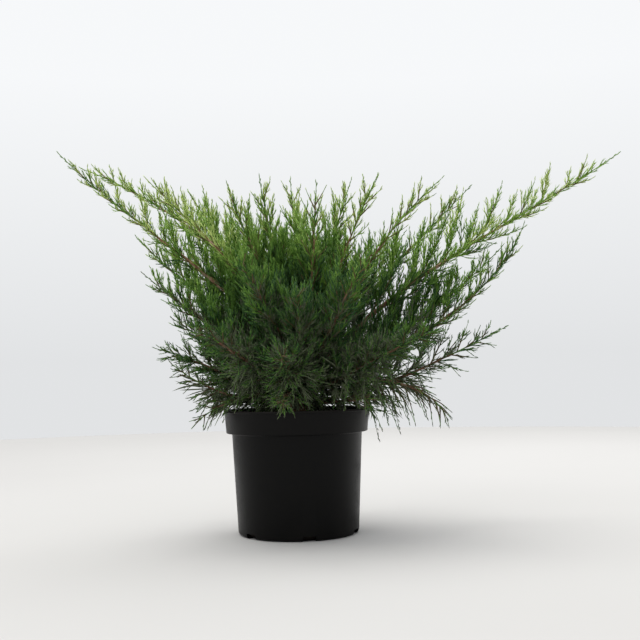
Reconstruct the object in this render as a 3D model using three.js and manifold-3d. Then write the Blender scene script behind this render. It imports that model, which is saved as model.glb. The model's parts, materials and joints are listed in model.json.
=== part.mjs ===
// A spreading juniper in a round black nursery pot, in millimetres, +Z up.
// The origin is the middle of the pot's flat underside, and the long arms reach along -X and +X.
// A short leaning trunk stands in the soil. Tapering boughs leave it in a fan. Each bough carries one mass of
// foliage: a stem that grows on from the bough, with side shoots by a seeded rule and needles on every shoot.

import * as THREE from "three";
import { mergeVertices } from "three/addons/utils/BufferGeometryUtils.js";
import Module from "manifold-3d";

const wasm = await Module();
wasm.setup();

// Pot
const POT_HEIGHT = 218;
const RIM_RADIUS = 130;
const LIP_HEIGHT = 4;
const LIP_PROUD = 1.6;
const LIP_EDGE = 0.8;
const COLLAR_HEIGHT = 40.5;
const COLLAR_FOOT_RADIUS = 125.5;
const COLLAR_EDGE = 1.5;
const BODY_TOP_RADIUS = 115.5;
const BODY_FOOT_RADIUS = 106.5;
const SHELF_CORNER = 3;
const FOOT_CORNER = 7;
const WALL = 2.2;
const POT_SIDES = 40;
const DRAIN_COUNT = 6;
const DRAIN_WIDTH = 23;
const DRAIN_HEIGHT = 9;
const DRAIN_DEPTH = 15;
const FIRST_DRAIN_ANGLE = -79;

// Soil
const SOIL_TOP = 196;
const SOIL_DISH = 5;
const SOIL_FLAT_RADIUS = 42;
const SOIL_SIDES = POT_SIDES / 2;
const CLEARANCE = 0.3;

// Trunk
const TRUNK_HEIGHT = 96;
const TRUNK_SINK = 12;
const TRUNK_LEAN = new THREE.Vector2(24, -8);
const TRUNK_FOOT = new THREE.Vector2(2, 2);
const TRUNK_RADIUS = 15;
const TRUNK_TOP_RADIUS = 10.5;
const FLARE_RADIUS = 9;
const FLARE_HEIGHT = 11;
const FLARE_LOBES = 4;
const LOBE_DEPTH = 0.28;
const TRUNK_SIDES = 12;
const TRUNK_RINGS = 8;

// Boughs
const BOUGH_SIDES = 5;
const BOUGH_RINGS = 4;
const BOUGH_BASE_RADIUS = 2.5;
const BOUGH_RADIUS_PER_LENGTH = 1 / 230;
const BOUGH_TIP_SHARE = 0.3;

// Foliage
const TWIG_SIDES = 3;
const TWIG_RADIUS = 1.3;
const TWIG_TIP_RADIUS = 0.6;
const NEEDLE_LENGTH = 34;
const NEEDLE_ANGLE = THREE.MathUtils.degToRad(26);
const NEEDLE_STEP = 34;
const MASS_STEM_RINGS = 4;
const STEM_END_RADIUS = 1.6;
const WHIP_RADIUS = 3.6;
const LEADER_SHARE = 0.16;
const LEADER_SINK = 6;
const LAST_SHOOT = 0.9;
const SHOOT_ANGLE = THREE.MathUtils.degToRad(38);
const SHOOT_BEND = 0.35;
const LEAST_SHOOT = 0.25;
const UNDERSIDE_LOSS = 0.3;
const GOLDEN_ANGLE = THREE.MathUtils.degToRad(137.508);
const TURN_SPREAD = 0.8;
const SHOOTS_IN_RULE = 31;
const SHOOT_STRIDE = 7;
const OWN_SPACE_MARGIN = 3;
const AXIS_SAMPLES = 24;

// How each kind of limb grows: the share of its length that is bare wood, how many of the rule's side shoots
// are made, the length of the longest, how fast they shorten towards the tip, how much they turn up, and how
// far they stand out. A whip is all twig, with no bough.
const HABITS = {
  wing: { bare: 0.22, shoots: 9, reach: 185, fade: 0.6, lift: 0.4, spread: 0.95 },
  lash: { bare: 0.22, shoots: 9, reach: 165, fade: 0.85, lift: 0.45, spread: 0.9 },
  fan: { bare: 0.2, shoots: 8, reach: 180, fade: 1.5, lift: 0.35, spread: 1 },
  upright: { bare: 0.16, shoots: 7, reach: 155, fade: 0.6, lift: 0.4, spread: 1.1 },
  flank: { bare: 0.14, shoots: 7, reach: 160, fade: 0.6, lift: 0.45, spread: 1.1 },
  arm: { bare: 0.14, shoots: 6, reach: 155, fade: 0.6, lift: 0.45, spread: 1.1, whip: true },
  skirt: { bare: 0.12, shoots: 5, reach: 140, fade: 0.6, lift: 0.1, spread: 1.2, whip: true },
  droop: { bare: 0.3, shoots: 5, reach: 100, fade: 0.4, lift: -0.8, spread: 1.1, whip: true },
  tuft: { bare: 0.16, shoots: 5, reach: 105, fade: 0.6, lift: -0.1, spread: 1.2, whip: true },
};

// Each limb by name and habit: where its foliage ends (azimuth round the pot from +X, reach from the axis,
// height above the ground), the angles above the level at which it leaves the trunk and arrives, and how high
// on the trunk it starts.
const LIMBS = [
  ["left_wing", "lash", 180, 425, 690, 62, 47, 62],
  ["left_wing_back", "lash", 166, 424, 684, 70, 22, 74],
  ["left_gold", "fan", 194, 264, 628, 74, 46, 72],
  ["left_flank", "flank", 200, 274, 458, 38, 40, 48],
  ["left_flank_back", "flank", 168, 303, 542, 48, 46, 54],
  ["left_arm", "arm", 176, 228, 388, 26, 34, 40],
  ["left_skirt", "skirt", 186, 252, 331, 18, 16, 30],
  ["left_upright", "upright", 214, 135, 614, 74, 74, 84],
  ["left_crest", "upright", 151, 236, 640, 72, 58, 86],
  ["back_crest", "upright", 94, 88, 652, 84, 80, 92],
  ["front_crest", "upright", -70, 128, 602, 74, 70, 88],
  ["right_crest", "upright", 14, 112, 636, 78, 68, 90],
  ["right_gold", "fan", -34, 181, 618, 70, 56, 80],
  ["right_fan", "fan", -11, 270, 618, 64, 38, 70],
  ["right_fan_back", "fan", 17, 358, 636, 58, 44, 66],
  ["right_wing", "wing", 0, 600, 672, 54, 34, 58],
  ["right_flank", "lash", -5, 411, 537, 24, 68, 48],
  ["right_arm", "arm", 5, 386, 508, 32, 46, 46],
  ["right_low", "skirt", -5, 380, 358, 4, 26, 32],
  ["front_left", "flank", -112, 236, 478, 52, 40, 56],
  ["front_left_low", "skirt", -132, 262, 366, 26, 20, 38],
  ["front_right", "flank", -60, 256, 474, 48, 40, 58],
  ["front_right_low", "skirt", -37, 302, 350, 20, 18, 40],
  ["back_left", "flank", 128, 308, 559, 56, 44, 62],
  ["back", "flank", 88, 292, 588, 60, 50, 68],
  ["back_right", "flank", 48, 339, 572, 54, 44, 64],
  ["back_low_left", "skirt", 124, 290, 392, 30, 22, 44],
  ["back_low_right", "skirt", 58, 300, 384, 28, 22, 46],
  ["left_droop", "tuft", 200, 192, 188, 34, -52, 26],
  ["right_droop", "droop", -14, 270, 183, 46, -86, 38],
  ["front_droop", "tuft", -98, 168, 222, 34, -34, 28],
  ["front_mid", "arm", -88, 208, 420, 46, 40, 52],
  ["front_low", "skirt", -96, 214, 316, 26, 16, 36],
  ["middle_crest", "arm", -127, 92, 624, 78, 80, 70],
  ["low_left", "tuft", -164, 226, 306, 4, 44, 27],
  ["low_right", "tuft", -36, 172, 236, 5, 2, 27],
  ["low_back", "tuft", 94, 196, 296, 8, 42, 28],
].map(([name, habit, azimuth, reach, height, leave, arrive, root]) => {
  return { name, habit: HABITS[habit], azimuth, reach, height, leave, arrive, root };
});

// Colours
const FOLIAGE = new THREE.MeshStandardMaterial({ color: 0x3f6b2a, roughness: 0.75 });
const BARK = new THREE.MeshStandardMaterial({ color: 0x6b4630, roughness: 0.9 });
const BLACK_PLASTIC = new THREE.MeshStandardMaterial({ color: 0x17191a, roughness: 0.45 });
const SOIL = new THREE.MeshStandardMaterial({ color: 0x2b2019, roughness: 1 });

const UP = new THREE.Vector3(0, 0, 1);

// A closed geometry as a manifold-3d solid.
function solidOf(geometry) {
  const bare = geometry.index ? geometry.toNonIndexed() : geometry.clone();
  bare.deleteAttribute("normal");
  bare.deleteAttribute("uv");
  const merged = mergeVertices(bare, 1e-4);
  const vertProperties = merged.attributes.position.array;
  const triVerts = new Uint32Array(merged.index.array);
  return new wasm.Manifold(new wasm.Mesh({ numProp: 3, vertProperties, triVerts }));
}

// A manifold-3d solid as a geometry.
function geometryOf(solid) {
  const { vertProperties, triVerts } = solid.getMesh();
  return new THREE.BufferGeometry()
    .setAttribute("position", new THREE.BufferAttribute(vertProperties, 3))
    .setIndex(new THREE.BufferAttribute(triVerts, 1));
}

// The largest body of a solid. Scraps that a cut left loose are dropped.
function largestBody(solid) {
  return solid.decompose().reduce((best, body) => (body.volume() > best.volume() ? body : best));
}

// A repeatable number from 0 to 1 for one seed and one count.
function chance(seed, count) {
  const wave = Math.sin(seed * 127.1 + count * 311.7) * 43758.5453;
  return wave - Math.floor(wave);
}

// A unit vector at an azimuth and an elevation, both in degrees.
function heading(azimuth, elevation) {
  const a = THREE.MathUtils.degToRad(azimuth);
  const e = THREE.MathUtils.degToRad(elevation);
  return new THREE.Vector3(Math.cos(a) * Math.cos(e), Math.sin(a) * Math.cos(e), Math.sin(e));
}

// Places along a curve from one parameter to another, each with two directions across it that don't twist.
function framesAlong(curve, from, to, steps) {
  const frames = [];
  let across = null;
  for (let i = 0; i <= steps; i++) {
    const t = from + ((to - from) * i) / steps;
    const along = curve.getTangent(t);
    across ??= Math.abs(along.z) < 0.9 ? UP.clone() : new THREE.Vector3(1, 0, 0);
    across = across.clone().addScaledVector(along, -across.dot(along)).normalize();
    const third = along.clone().cross(across);
    frames.push({ share: i / steps, centre: curve.getPoint(t), along, across, third });
  }
  return frames;
}

// The points of one ring round a limb.
function ringPoints(centre, across, third, sides, radiusAt) {
  return Array.from({ length: sides }, (_, k) => {
    const angle = (2 * Math.PI * k) / sides;
    const point = centre.clone().addScaledVector(across, radiusAt(angle) * Math.cos(angle));
    return point.addScaledVector(third, radiusAt(angle) * Math.sin(angle));
  });
}

// A tapering piece of wood along a curve, with flat ends.
function taper(curve, from, to, steps, sides, radiusAt) {
  const positions = framesAlong(curve, from, to, steps).flatMap(({ share, centre, across, third }) =>
    ringPoints(centre, across, third, sides, (angle) => radiusAt(share, angle)),
  );
  const faces = [];
  for (let j = 0; j < steps; j++) {
    for (let k = 0; k < sides; k++) {
      const [a, b] = [j * sides + k, j * sides + ((k + 1) % sides)];
      faces.push(a, b, b + sides, a, b + sides, a + sides);
    }
  }
  for (let k = 1; k < sides - 1; k++) {
    faces.push(0, k + 1, k);
    faces.push(steps * sides, steps * sides + k, steps * sides + k + 1);
  }
  return solidOf(new THREE.BufferGeometry().setFromPoints(positions).setIndex(faces));
}

// A slim twig along a curve that ends in a point. Past its first step, a needle stands out of each side
// between its rings and leans forward. A needle that isn't allowed where it would end is left off.
function spinyTwig(curve, from, to, allowed) {
  const steps = Math.max(3, Math.round((curve.getLength() * (to - from)) / NEEDLE_STEP));
  const frames = framesAlong(curve, from, to, steps);
  const positions = [];
  const faces = [];
  for (const { share, centre, across, third } of frames.slice(0, steps)) {
    const radius = THREE.MathUtils.lerp(TWIG_RADIUS, TWIG_TIP_RADIUS, share);
    positions.push(...ringPoints(centre, across, third, TWIG_SIDES, () => radius));
  }
  const end = positions.push(frames[steps].centre) - 1;
  for (let j = 0; j < steps - 1; j++) {
    const { share, centre, along } = frames[j];
    const length = NEEDLE_LENGTH * (1.1 - 0.5 * share);
    for (let k = 0; k < TWIG_SIDES; k++) {
      const [a, b] = [j * TWIG_SIDES + k, j * TWIG_SIDES + ((k + 1) % TWIG_SIDES)];
      const c = b + TWIG_SIDES;
      faces.push(a, c, a + TWIG_SIDES);
      const side = positions[a].clone().add(positions[b]).multiplyScalar(0.5).sub(centre).normalize();
      const tip = positions[a].clone().add(positions[b]).add(positions[c]).divideScalar(3);
      tip.addScaledVector(side, length * Math.sin(NEEDLE_ANGLE));
      tip.addScaledVector(along, length * Math.cos(NEEDLE_ANGLE));
      if (j === 0 || !allowed(tip)) {
        faces.push(a, b, c);
        continue;
      }
      const p = positions.push(tip) - 1;
      faces.push(a, b, p, b, c, p, c, a, p);
    }
  }
  const last = (steps - 1) * TWIG_SIDES;
  for (let k = 0; k < TWIG_SIDES; k++) faces.push(last + k, last + ((k + 1) % TWIG_SIDES), end);
  for (let k = 1; k < TWIG_SIDES - 1; k++) faces.push(0, k + 1, k);
  return solidOf(new THREE.BufferGeometry().setFromPoints(positions).setIndex(faces));
}

// Pot: a turned shell with a lip, a deep collar, and drain holes round its foot.
function potSolid() {
  const collarFoot = POT_HEIGHT - COLLAR_HEIGHT;
  const collarTop = RIM_RADIUS - LIP_PROUD;
  const profile = [
    [0, 0],
    [BODY_FOOT_RADIUS - FOOT_CORNER, 0],
    [BODY_FOOT_RADIUS - FOOT_CORNER * 0.3, FOOT_CORNER * 0.3],
    [BODY_FOOT_RADIUS, FOOT_CORNER],
    [BODY_TOP_RADIUS, collarFoot - SHELF_CORNER],
    [BODY_TOP_RADIUS + SHELF_CORNER, collarFoot],
    [COLLAR_FOOT_RADIUS - COLLAR_EDGE, collarFoot],
    [COLLAR_FOOT_RADIUS, collarFoot + COLLAR_EDGE],
    [collarTop, POT_HEIGHT - LIP_HEIGHT],
    [RIM_RADIUS, POT_HEIGHT - LIP_HEIGHT + LIP_EDGE],
    [RIM_RADIUS, POT_HEIGHT - LIP_EDGE],
    [RIM_RADIUS - LIP_EDGE, POT_HEIGHT],
    [collarTop - WALL, POT_HEIGHT],
    [COLLAR_FOOT_RADIUS - WALL, collarFoot + WALL],
    [BODY_TOP_RADIUS - WALL + COLLAR_EDGE, collarFoot + WALL],
    [BODY_TOP_RADIUS - WALL, collarFoot],
    [BODY_FOOT_RADIUS - WALL, FOOT_CORNER],
    [BODY_FOOT_RADIUS - FOOT_CORNER, WALL],
    [0, WALL],
  ];
  const points = profile.map(([radius, height]) => new THREE.Vector2(radius, height));
  const shell = solidOf(new THREE.LatheGeometry(points, POT_SIDES).rotateX(Math.PI / 2));
  const drains = Array.from({ length: DRAIN_COUNT }, (_, i) => {
    const turn = THREE.MathUtils.degToRad(FIRST_DRAIN_ANGLE + (360 * i) / DRAIN_COUNT);
    const box = new THREE.BoxGeometry(2 * DRAIN_DEPTH, DRAIN_WIDTH, 2 * DRAIN_HEIGHT);
    return solidOf(box.translate(BODY_FOOT_RADIUS, 0, 0).rotateZ(turn));
  });
  return wasm.Manifold.difference([shell, ...drains]);
}

// Soil: a plug that fills the pot to just under its collar's top, flat in the middle where the trunk stands.
function soilSolid() {
  const inside = (radius) => radius - WALL - CLEARANCE;
  const collarFoot = POT_HEIGHT - COLLAR_HEIGHT;
  const edge = SOIL_TOP - SOIL_DISH;
  const edgeShare = (edge - collarFoot) / COLLAR_HEIGHT;
  const edgeRadius = inside(THREE.MathUtils.lerp(COLLAR_FOOT_RADIUS, RIM_RADIUS - LIP_PROUD, edgeShare));
  const profile = [
    [0, WALL + CLEARANCE],
    [inside(BODY_FOOT_RADIUS) - FOOT_CORNER, WALL + CLEARANCE],
    [inside(BODY_FOOT_RADIUS), FOOT_CORNER + CLEARANCE],
    [inside(BODY_TOP_RADIUS), collarFoot],
    [inside(BODY_TOP_RADIUS), collarFoot + WALL + CLEARANCE],
    [inside(COLLAR_FOOT_RADIUS), collarFoot + WALL + CLEARANCE],
    [edgeRadius, edge],
    [(edgeRadius + SOIL_FLAT_RADIUS) / 2, SOIL_TOP - SOIL_DISH / 3],
    [SOIL_FLAT_RADIUS, SOIL_TOP],
    [0, SOIL_TOP],
  ];
  const points = profile.map(([radius, height]) => new THREE.Vector2(radius, height));
  return solidOf(new THREE.LatheGeometry(points, SOIL_SIDES).rotateX(Math.PI / 2));
}

// Trunk: short and leaning, with a lobed flare over the roots and a flat cut where it meets the soil. Its
// line starts in the soil, so that the cut goes right through it.
const TRUNK_CUT = SOIL_TOP + CLEARANCE;
const trunkFoot = new THREE.Vector3(TRUNK_FOOT.x, TRUNK_FOOT.y, SOIL_TOP - TRUNK_SINK);
const trunkTop = new THREE.Vector3(TRUNK_FOOT.x, TRUNK_FOOT.y, SOIL_TOP + TRUNK_HEIGHT);
trunkTop.add(new THREE.Vector3(TRUNK_LEAN.x, TRUNK_LEAN.y, 0));
const trunkKnee = trunkFoot.clone().lerp(trunkTop, 0.5).setX(trunkFoot.x + TRUNK_LEAN.x * 0.3);
const trunkCurve = new THREE.QuadraticBezierCurve3(trunkFoot, trunkKnee, trunkTop);

// The trunk, or the room that it needs with some extra round it.
function trunkSolid(extra) {
  const radiusAt = (share, angle) => {
    const height = Math.max(share * (TRUNK_HEIGHT + TRUNK_SINK) - TRUNK_SINK, 0);
    const flare = Math.exp(-height / FLARE_HEIGHT);
    const lobes = 1 + LOBE_DEPTH * flare * Math.cos(FLARE_LOBES * angle);
    return THREE.MathUtils.lerp(TRUNK_RADIUS, TRUNK_TOP_RADIUS, share) * lobes + FLARE_RADIUS * flare + extra;
  };
  const whole = taper(trunkCurve, 0, 1, TRUNK_RINGS, TRUNK_SIDES, radiusAt);
  const box = new THREE.BoxGeometry(8 * TRUNK_RADIUS, 8 * TRUNK_RADIUS, 2 * TRUNK_SINK);
  return whole.subtract(solidOf(box.translate(trunkFoot.x, trunkFoot.y, TRUNK_CUT - TRUNK_SINK)));
}

// The line that a limb follows, from inside the trunk to the tip of its foliage.
function limbCurve({ azimuth, reach, height, leave, arrive, root }) {
  const start = trunkCurve.getPoint((root + TRUNK_SINK) / (TRUNK_HEIGHT + TRUNK_SINK));
  const tip = heading(azimuth, 0).multiplyScalar(reach).setZ(height);
  const out = tip.clone().sub(start);
  const away = THREE.MathUtils.radToDeg(Math.atan2(out.y, out.x));
  const pull = out.length() / 3;
  const first = start.clone().addScaledVector(heading(away, leave), pull);
  const second = tip.clone().addScaledVector(heading(away, arrive), -pull);
  return new THREE.CubicBezierCurve3(start, first, second, tip);
}

// One side shoot of a limb by the rule: it leaves the stem a golden angle on from the last and bends at its
// end.
function shootCurve({ curve, habit, seed }, count) {
  const share = (count + 0.5 + 0.5 * (chance(seed, count) - 0.5)) / SHOOTS_IN_RULE;
  const start = habit.bare + (LAST_SHOOT - habit.bare) * share;
  const along = curve.getTangent(start);
  const side = along.clone().cross(UP).normalize();
  const top = side.clone().cross(along);
  const turn = GOLDEN_ANGLE * count + TURN_SPREAD * chance(seed, count + 50);
  const angle = SHOOT_ANGLE * (0.85 + 0.3 * chance(seed, count + 100));
  const away = along.clone().multiplyScalar(Math.cos(angle));
  away.addScaledVector(side, Math.sin(angle) * habit.spread * Math.cos(turn));
  away.addScaledVector(top, Math.sin(angle) * habit.spread * Math.sin(turn));
  away.addScaledVector(UP, 0.5 * habit.lift).normalize();
  const under = 0.5 - 0.5 * Math.sin(turn) * Math.sign(habit.lift);
  const luck = 0.75 + 0.4 * chance(seed, count + 150);
  const fullness = Math.pow(1 - share, habit.fade) * (1 - UNDERSIDE_LOSS * under) * luck;
  const length = habit.reach * Math.max(fullness, LEAST_SHOOT);
  const foot = curve.getPoint(start);
  const middle = foot.clone().addScaledVector(away, length / 2);
  const end = away.addScaledVector(UP, SHOOT_BEND * habit.lift).normalize();
  return new THREE.QuadraticBezierCurve3(foot, middle, foot.clone().addScaledVector(end, length));
}

const limbs = LIMBS.map((sizes, i) => {
  const curve = limbCurve(sizes);
  const length = curve.getLength();
  const rootRadius = BOUGH_BASE_RADIUS + length * BOUGH_RADIUS_PER_LENGTH;
  const from = sizes.habit.whip ? 0 : sizes.habit.bare + CLEARANCE / length;
  const axis = curve.getPoints(AXIS_SAMPLES);
  return { name: sizes.name, habit: sizes.habit, seed: i + 1, curve, length, rootRadius, from, axis };
});

// How thick a limb's wood is at a share of its whole length.
function woodRadius(limb, share) {
  return limb.rootRadius * THREE.MathUtils.lerp(1, BOUGH_TIP_SHARE, Math.pow(share, 0.7));
}

// A bough from its root in the trunk to where its foliage starts, or the room that it needs with some extra
// round it.
function boughSolid(limb, extra) {
  const { bare } = limb.habit;
  const radiusAt = (share) => woodRadius(limb, share * bare) + extra;
  return taper(limb.curve, 0, bare, BOUGH_RINGS, BOUGH_SIDES, radiusAt);
}

// The stem of a mass up to its leader, or the room that it needs with some extra round it.
function stemSolid(limb, extra) {
  const thick = Math.min(woodRadius(limb, limb.from), WHIP_RADIUS);
  const radiusAt = (share) => THREE.MathUtils.lerp(thick, STEM_END_RADIUS, share) + extra;
  return taper(limb.curve, limb.from, 1 - LEADER_SHARE, MASS_STEM_RINGS, TWIG_SIDES, radiusAt);
}

// Whether a point is outside the pot and nearer to its own limb's line than to any other.
function inOwnSpace(limb, point) {
  const gapTo = (axis) => Math.min(...axis.map((place) => place.distanceTo(point)));
  const overPot = Math.hypot(point.x, point.y) < RIM_RADIUS + OWN_SPACE_MARGIN;
  if (overPot && point.z < POT_HEIGHT + OWN_SPACE_MARGIN) return false;
  const own = gapTo(limb.axis);
  return limbs.every((other) => other === limb || gapTo(other.axis) > own + OWN_SPACE_MARGIN);
}

// One mass: the stem that grows on from the bough, or from the trunk on a whip, with its leader and the side
// shoots that keep to the mass's own space and touch nothing that is made already.
function foliageSolid(limb, obstacles) {
  const { curve, habit, length } = limb;
  const allowed = (point) => inOwnSpace(limb, point);
  const leader = spinyTwig(curve, 1 - LEADER_SHARE - LEADER_SINK / length, 1, allowed);
  const parts = [stemSolid(limb, 0), leader];
  for (let i = 0; i < SHOOTS_IN_RULE && parts.length < habit.shoots + 2; i++) {
    const shoot = shootCurve(limb, (i * SHOOT_STRIDE) % SHOOTS_IN_RULE);
    if (!shoot.getPoints(6).slice(2).every(allowed)) continue;
    const twig = spinyTwig(shoot, 0, 1, allowed);
    if (obstacles.every((other) => other.intersect(twig).isEmpty())) parts.push(twig);
  }
  return wasm.Manifold.union(parts);
}

const juniper = new THREE.Group();

function add(name, solid, material) {
  const mesh = new THREE.Mesh(geometryOf(solid), material);
  mesh.name = name;
  juniper.add(mesh);
}

const pot = potSolid();
add("pot", pot, BLACK_PLASTIC);
add("soil", soilSolid(), SOIL);
add("trunk", trunkSolid(0), BARK);

// Boughs: each is cut clear of the trunk and of the boughs before it, because they crowd round the fork.
const trunkRoom = trunkSolid(CLEARANCE);
const boughRoom = new Map();
for (const limb of limbs.filter(({ habit }) => !habit.whip)) {
  const cut = wasm.Manifold.difference([boughSolid(limb, 0), trunkRoom, ...boughRoom.values()]);
  boughRoom.set(limb, boughSolid(limb, CLEARANCE));
  add("bough_" + limb.name, largestBody(cut), BARK);
}

// Masses of foliage: their twigs keep clear of all wood, and a stem is cut clear of the wood before it.
const stemRoom = new Map(limbs.map((limb) => [limb, stemSolid(limb, CLEARANCE)]));
const grown = [pot];
const cutBy = [];
for (const limb of limbs) {
  const boughs = [trunkRoom, ...boughRoom.values()].filter((room) => room !== boughRoom.get(limb));
  const stems = limbs.filter((other) => other !== limb).map((other) => stemRoom.get(other));
  const mass = foliageSolid(limb, [...boughs, ...stems, ...grown]);
  grown.push(mass);
  add("foliage_" + limb.name, largestBody(wasm.Manifold.difference([mass, ...boughs, ...cutBy])), FOLIAGE);
  cutBy.push(stemRoom.get(limb));
}

export default juniper;
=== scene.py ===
import json
import logging
import math
from dataclasses import dataclass, fields, replace
from enum import Enum, IntEnum
from typing import Any, Callable, Iterable, Self, Sequence

import bpy
import numpy as np
from mathutils import Matrix, Vector

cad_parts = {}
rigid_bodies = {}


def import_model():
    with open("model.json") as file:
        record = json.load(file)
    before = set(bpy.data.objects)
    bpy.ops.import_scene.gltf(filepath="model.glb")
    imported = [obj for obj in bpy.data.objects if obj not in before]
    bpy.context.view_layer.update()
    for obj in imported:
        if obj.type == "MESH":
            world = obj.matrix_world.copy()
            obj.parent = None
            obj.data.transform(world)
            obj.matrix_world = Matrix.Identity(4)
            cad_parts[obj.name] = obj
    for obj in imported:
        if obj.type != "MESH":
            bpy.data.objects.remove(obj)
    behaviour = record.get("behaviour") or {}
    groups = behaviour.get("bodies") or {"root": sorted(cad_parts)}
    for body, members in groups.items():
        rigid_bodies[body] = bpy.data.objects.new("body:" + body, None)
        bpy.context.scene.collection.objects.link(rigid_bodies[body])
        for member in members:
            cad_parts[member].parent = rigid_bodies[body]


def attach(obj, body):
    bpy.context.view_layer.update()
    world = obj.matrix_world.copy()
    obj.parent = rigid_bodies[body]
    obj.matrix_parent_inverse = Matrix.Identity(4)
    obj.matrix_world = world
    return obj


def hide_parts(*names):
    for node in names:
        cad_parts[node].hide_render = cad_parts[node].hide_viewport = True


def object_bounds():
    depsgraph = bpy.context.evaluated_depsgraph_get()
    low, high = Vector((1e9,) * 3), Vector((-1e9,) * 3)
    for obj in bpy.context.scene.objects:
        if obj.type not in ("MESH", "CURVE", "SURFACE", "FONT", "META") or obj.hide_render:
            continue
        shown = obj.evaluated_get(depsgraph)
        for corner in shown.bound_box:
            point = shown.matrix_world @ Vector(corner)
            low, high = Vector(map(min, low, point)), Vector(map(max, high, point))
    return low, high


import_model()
cad_low, cad_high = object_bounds()

log = logging.getLogger("juniper")

Array = np.ndarray
Color = tuple[float, float, float]
Face = tuple[int, int, int]

UP = np.array([0.0, 0.0, 1.0])

# Pot and soil, in metres. The origin is the middle of the pot's flat underside.
POT_HEIGHT = 0.218
RIM_RADIUS = 0.130
LIP_HEIGHT = 0.004
LIP_PROUD = 0.0016
COLLAR_HEIGHT = 0.0405
COLLAR_FOOT_RADIUS = 0.1255
BODY_TOP_RADIUS = 0.1155
BODY_FOOT_RADIUS = 0.1065
WALL = 0.0022
SOIL_TOP = 0.196
SOIL_DISH = 0.005
SOIL_CLEARANCE = 0.0003

# Trunk
TRUNK_HEIGHT = 0.096
TRUNK_SINK = 0.012
TRUNK_LEAN = (0.024, -0.008)
TRUNK_FOOT = (0.002, 0.002)
TRUNK_KNEE = 0.3

# The share of an edge that the rounding of a corner may take
MOST_ROUNDING = 0.49

# The wave whose last digits are the repeatable draws
SEED_WAVE = 127.1
COUNT_WAVE = 311.7
WAVE_SIZE = 43758.5453

# The rule of growth
GOLDEN_ANGLE = math.radians(137.508)
DROOPING_LIFT = 0.2
SIDE_SPLIT = -0.15


class Tone(Enum):
    """The greens that sprays are dealt, from the sunlit tips to the shaded bottom."""

    LIME = "lime"
    FRESH = "fresh"
    MID = "mid"
    DEEP = "deep"
    SHADE = "shade"


class Side(Enum):
    """The half of the shrub that a limb reaches into."""

    LEFT = "left"
    RIGHT = "right"


# Numbers and vectors


def chance(seed: Array, count: Array) -> Array:
    """Repeatable numbers from 0 to 1 for seeds and counts."""
    wave = np.sin(seed * SEED_WAVE + count * COUNT_WAVE) * WAVE_SIZE
    return wave - np.floor(wave)


@dataclass(frozen=True)
class Draw:
    """A number drawn for each seed and index.

    Attributes:
        low: its lowest value.
        span: how far above that it can be.
        start: what is added to the index, so that different draws don't repeat each other.
    """

    low: float
    span: float
    start: int = 0

    def of(self, seed: Array, index: Any = 0) -> Array:
        """The number for each seed and index."""
        return self.low + self.span * chance(seed, index + self.start)


def unit(vectors: Array) -> Array:
    """The vectors at length 1."""
    return vectors / np.maximum(np.linalg.norm(vectors, axis=-1, keepdims=True), 1e-12)


def heading(azimuth: Array, elevation: Array) -> Array:
    """Unit vectors at azimuths and elevations in degrees."""
    a, e = np.radians(azimuth), np.radians(elevation)
    return np.stack([np.cos(a) * np.cos(e), np.sin(a) * np.cos(e), np.sin(e)], axis=-1)


def lerp(a: Any, b: Any, share: Any) -> Any:
    """The value a share of the way from a to b."""
    return a + (b - a) * share


def below(height: Array, top: float, fade: float) -> Array:
    """0 above a height, and rising to 1 over the fade under it."""
    return np.clip((top - height) / fade, 0, 1)


# Node trees


@dataclass(frozen=True)
class Term:
    """One output of a node. Python's operators on it make Math nodes."""

    graph: "Graph"
    socket: bpy.types.NodeSocket

    def __add__(self, other: Any) -> "Term":
        """self + other."""
        return self.graph.math("ADD", self, other)

    def __sub__(self, other: Any) -> "Term":
        """self - other."""
        return self.graph.math("SUBTRACT", self, other)

    def __mul__(self, other: Any) -> "Term":
        """self * other."""
        return self.graph.math("MULTIPLY", self, other)

    def __radd__(self, other: Any) -> "Term":
        """other + self."""
        return self.graph.math("ADD", other, self)

    def __rsub__(self, other: Any) -> "Term":
        """other - self."""
        return self.graph.math("SUBTRACT", other, self)

    def __rmul__(self, other: Any) -> "Term":
        """other * self."""
        return self.graph.math("MULTIPLY", other, self)


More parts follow.
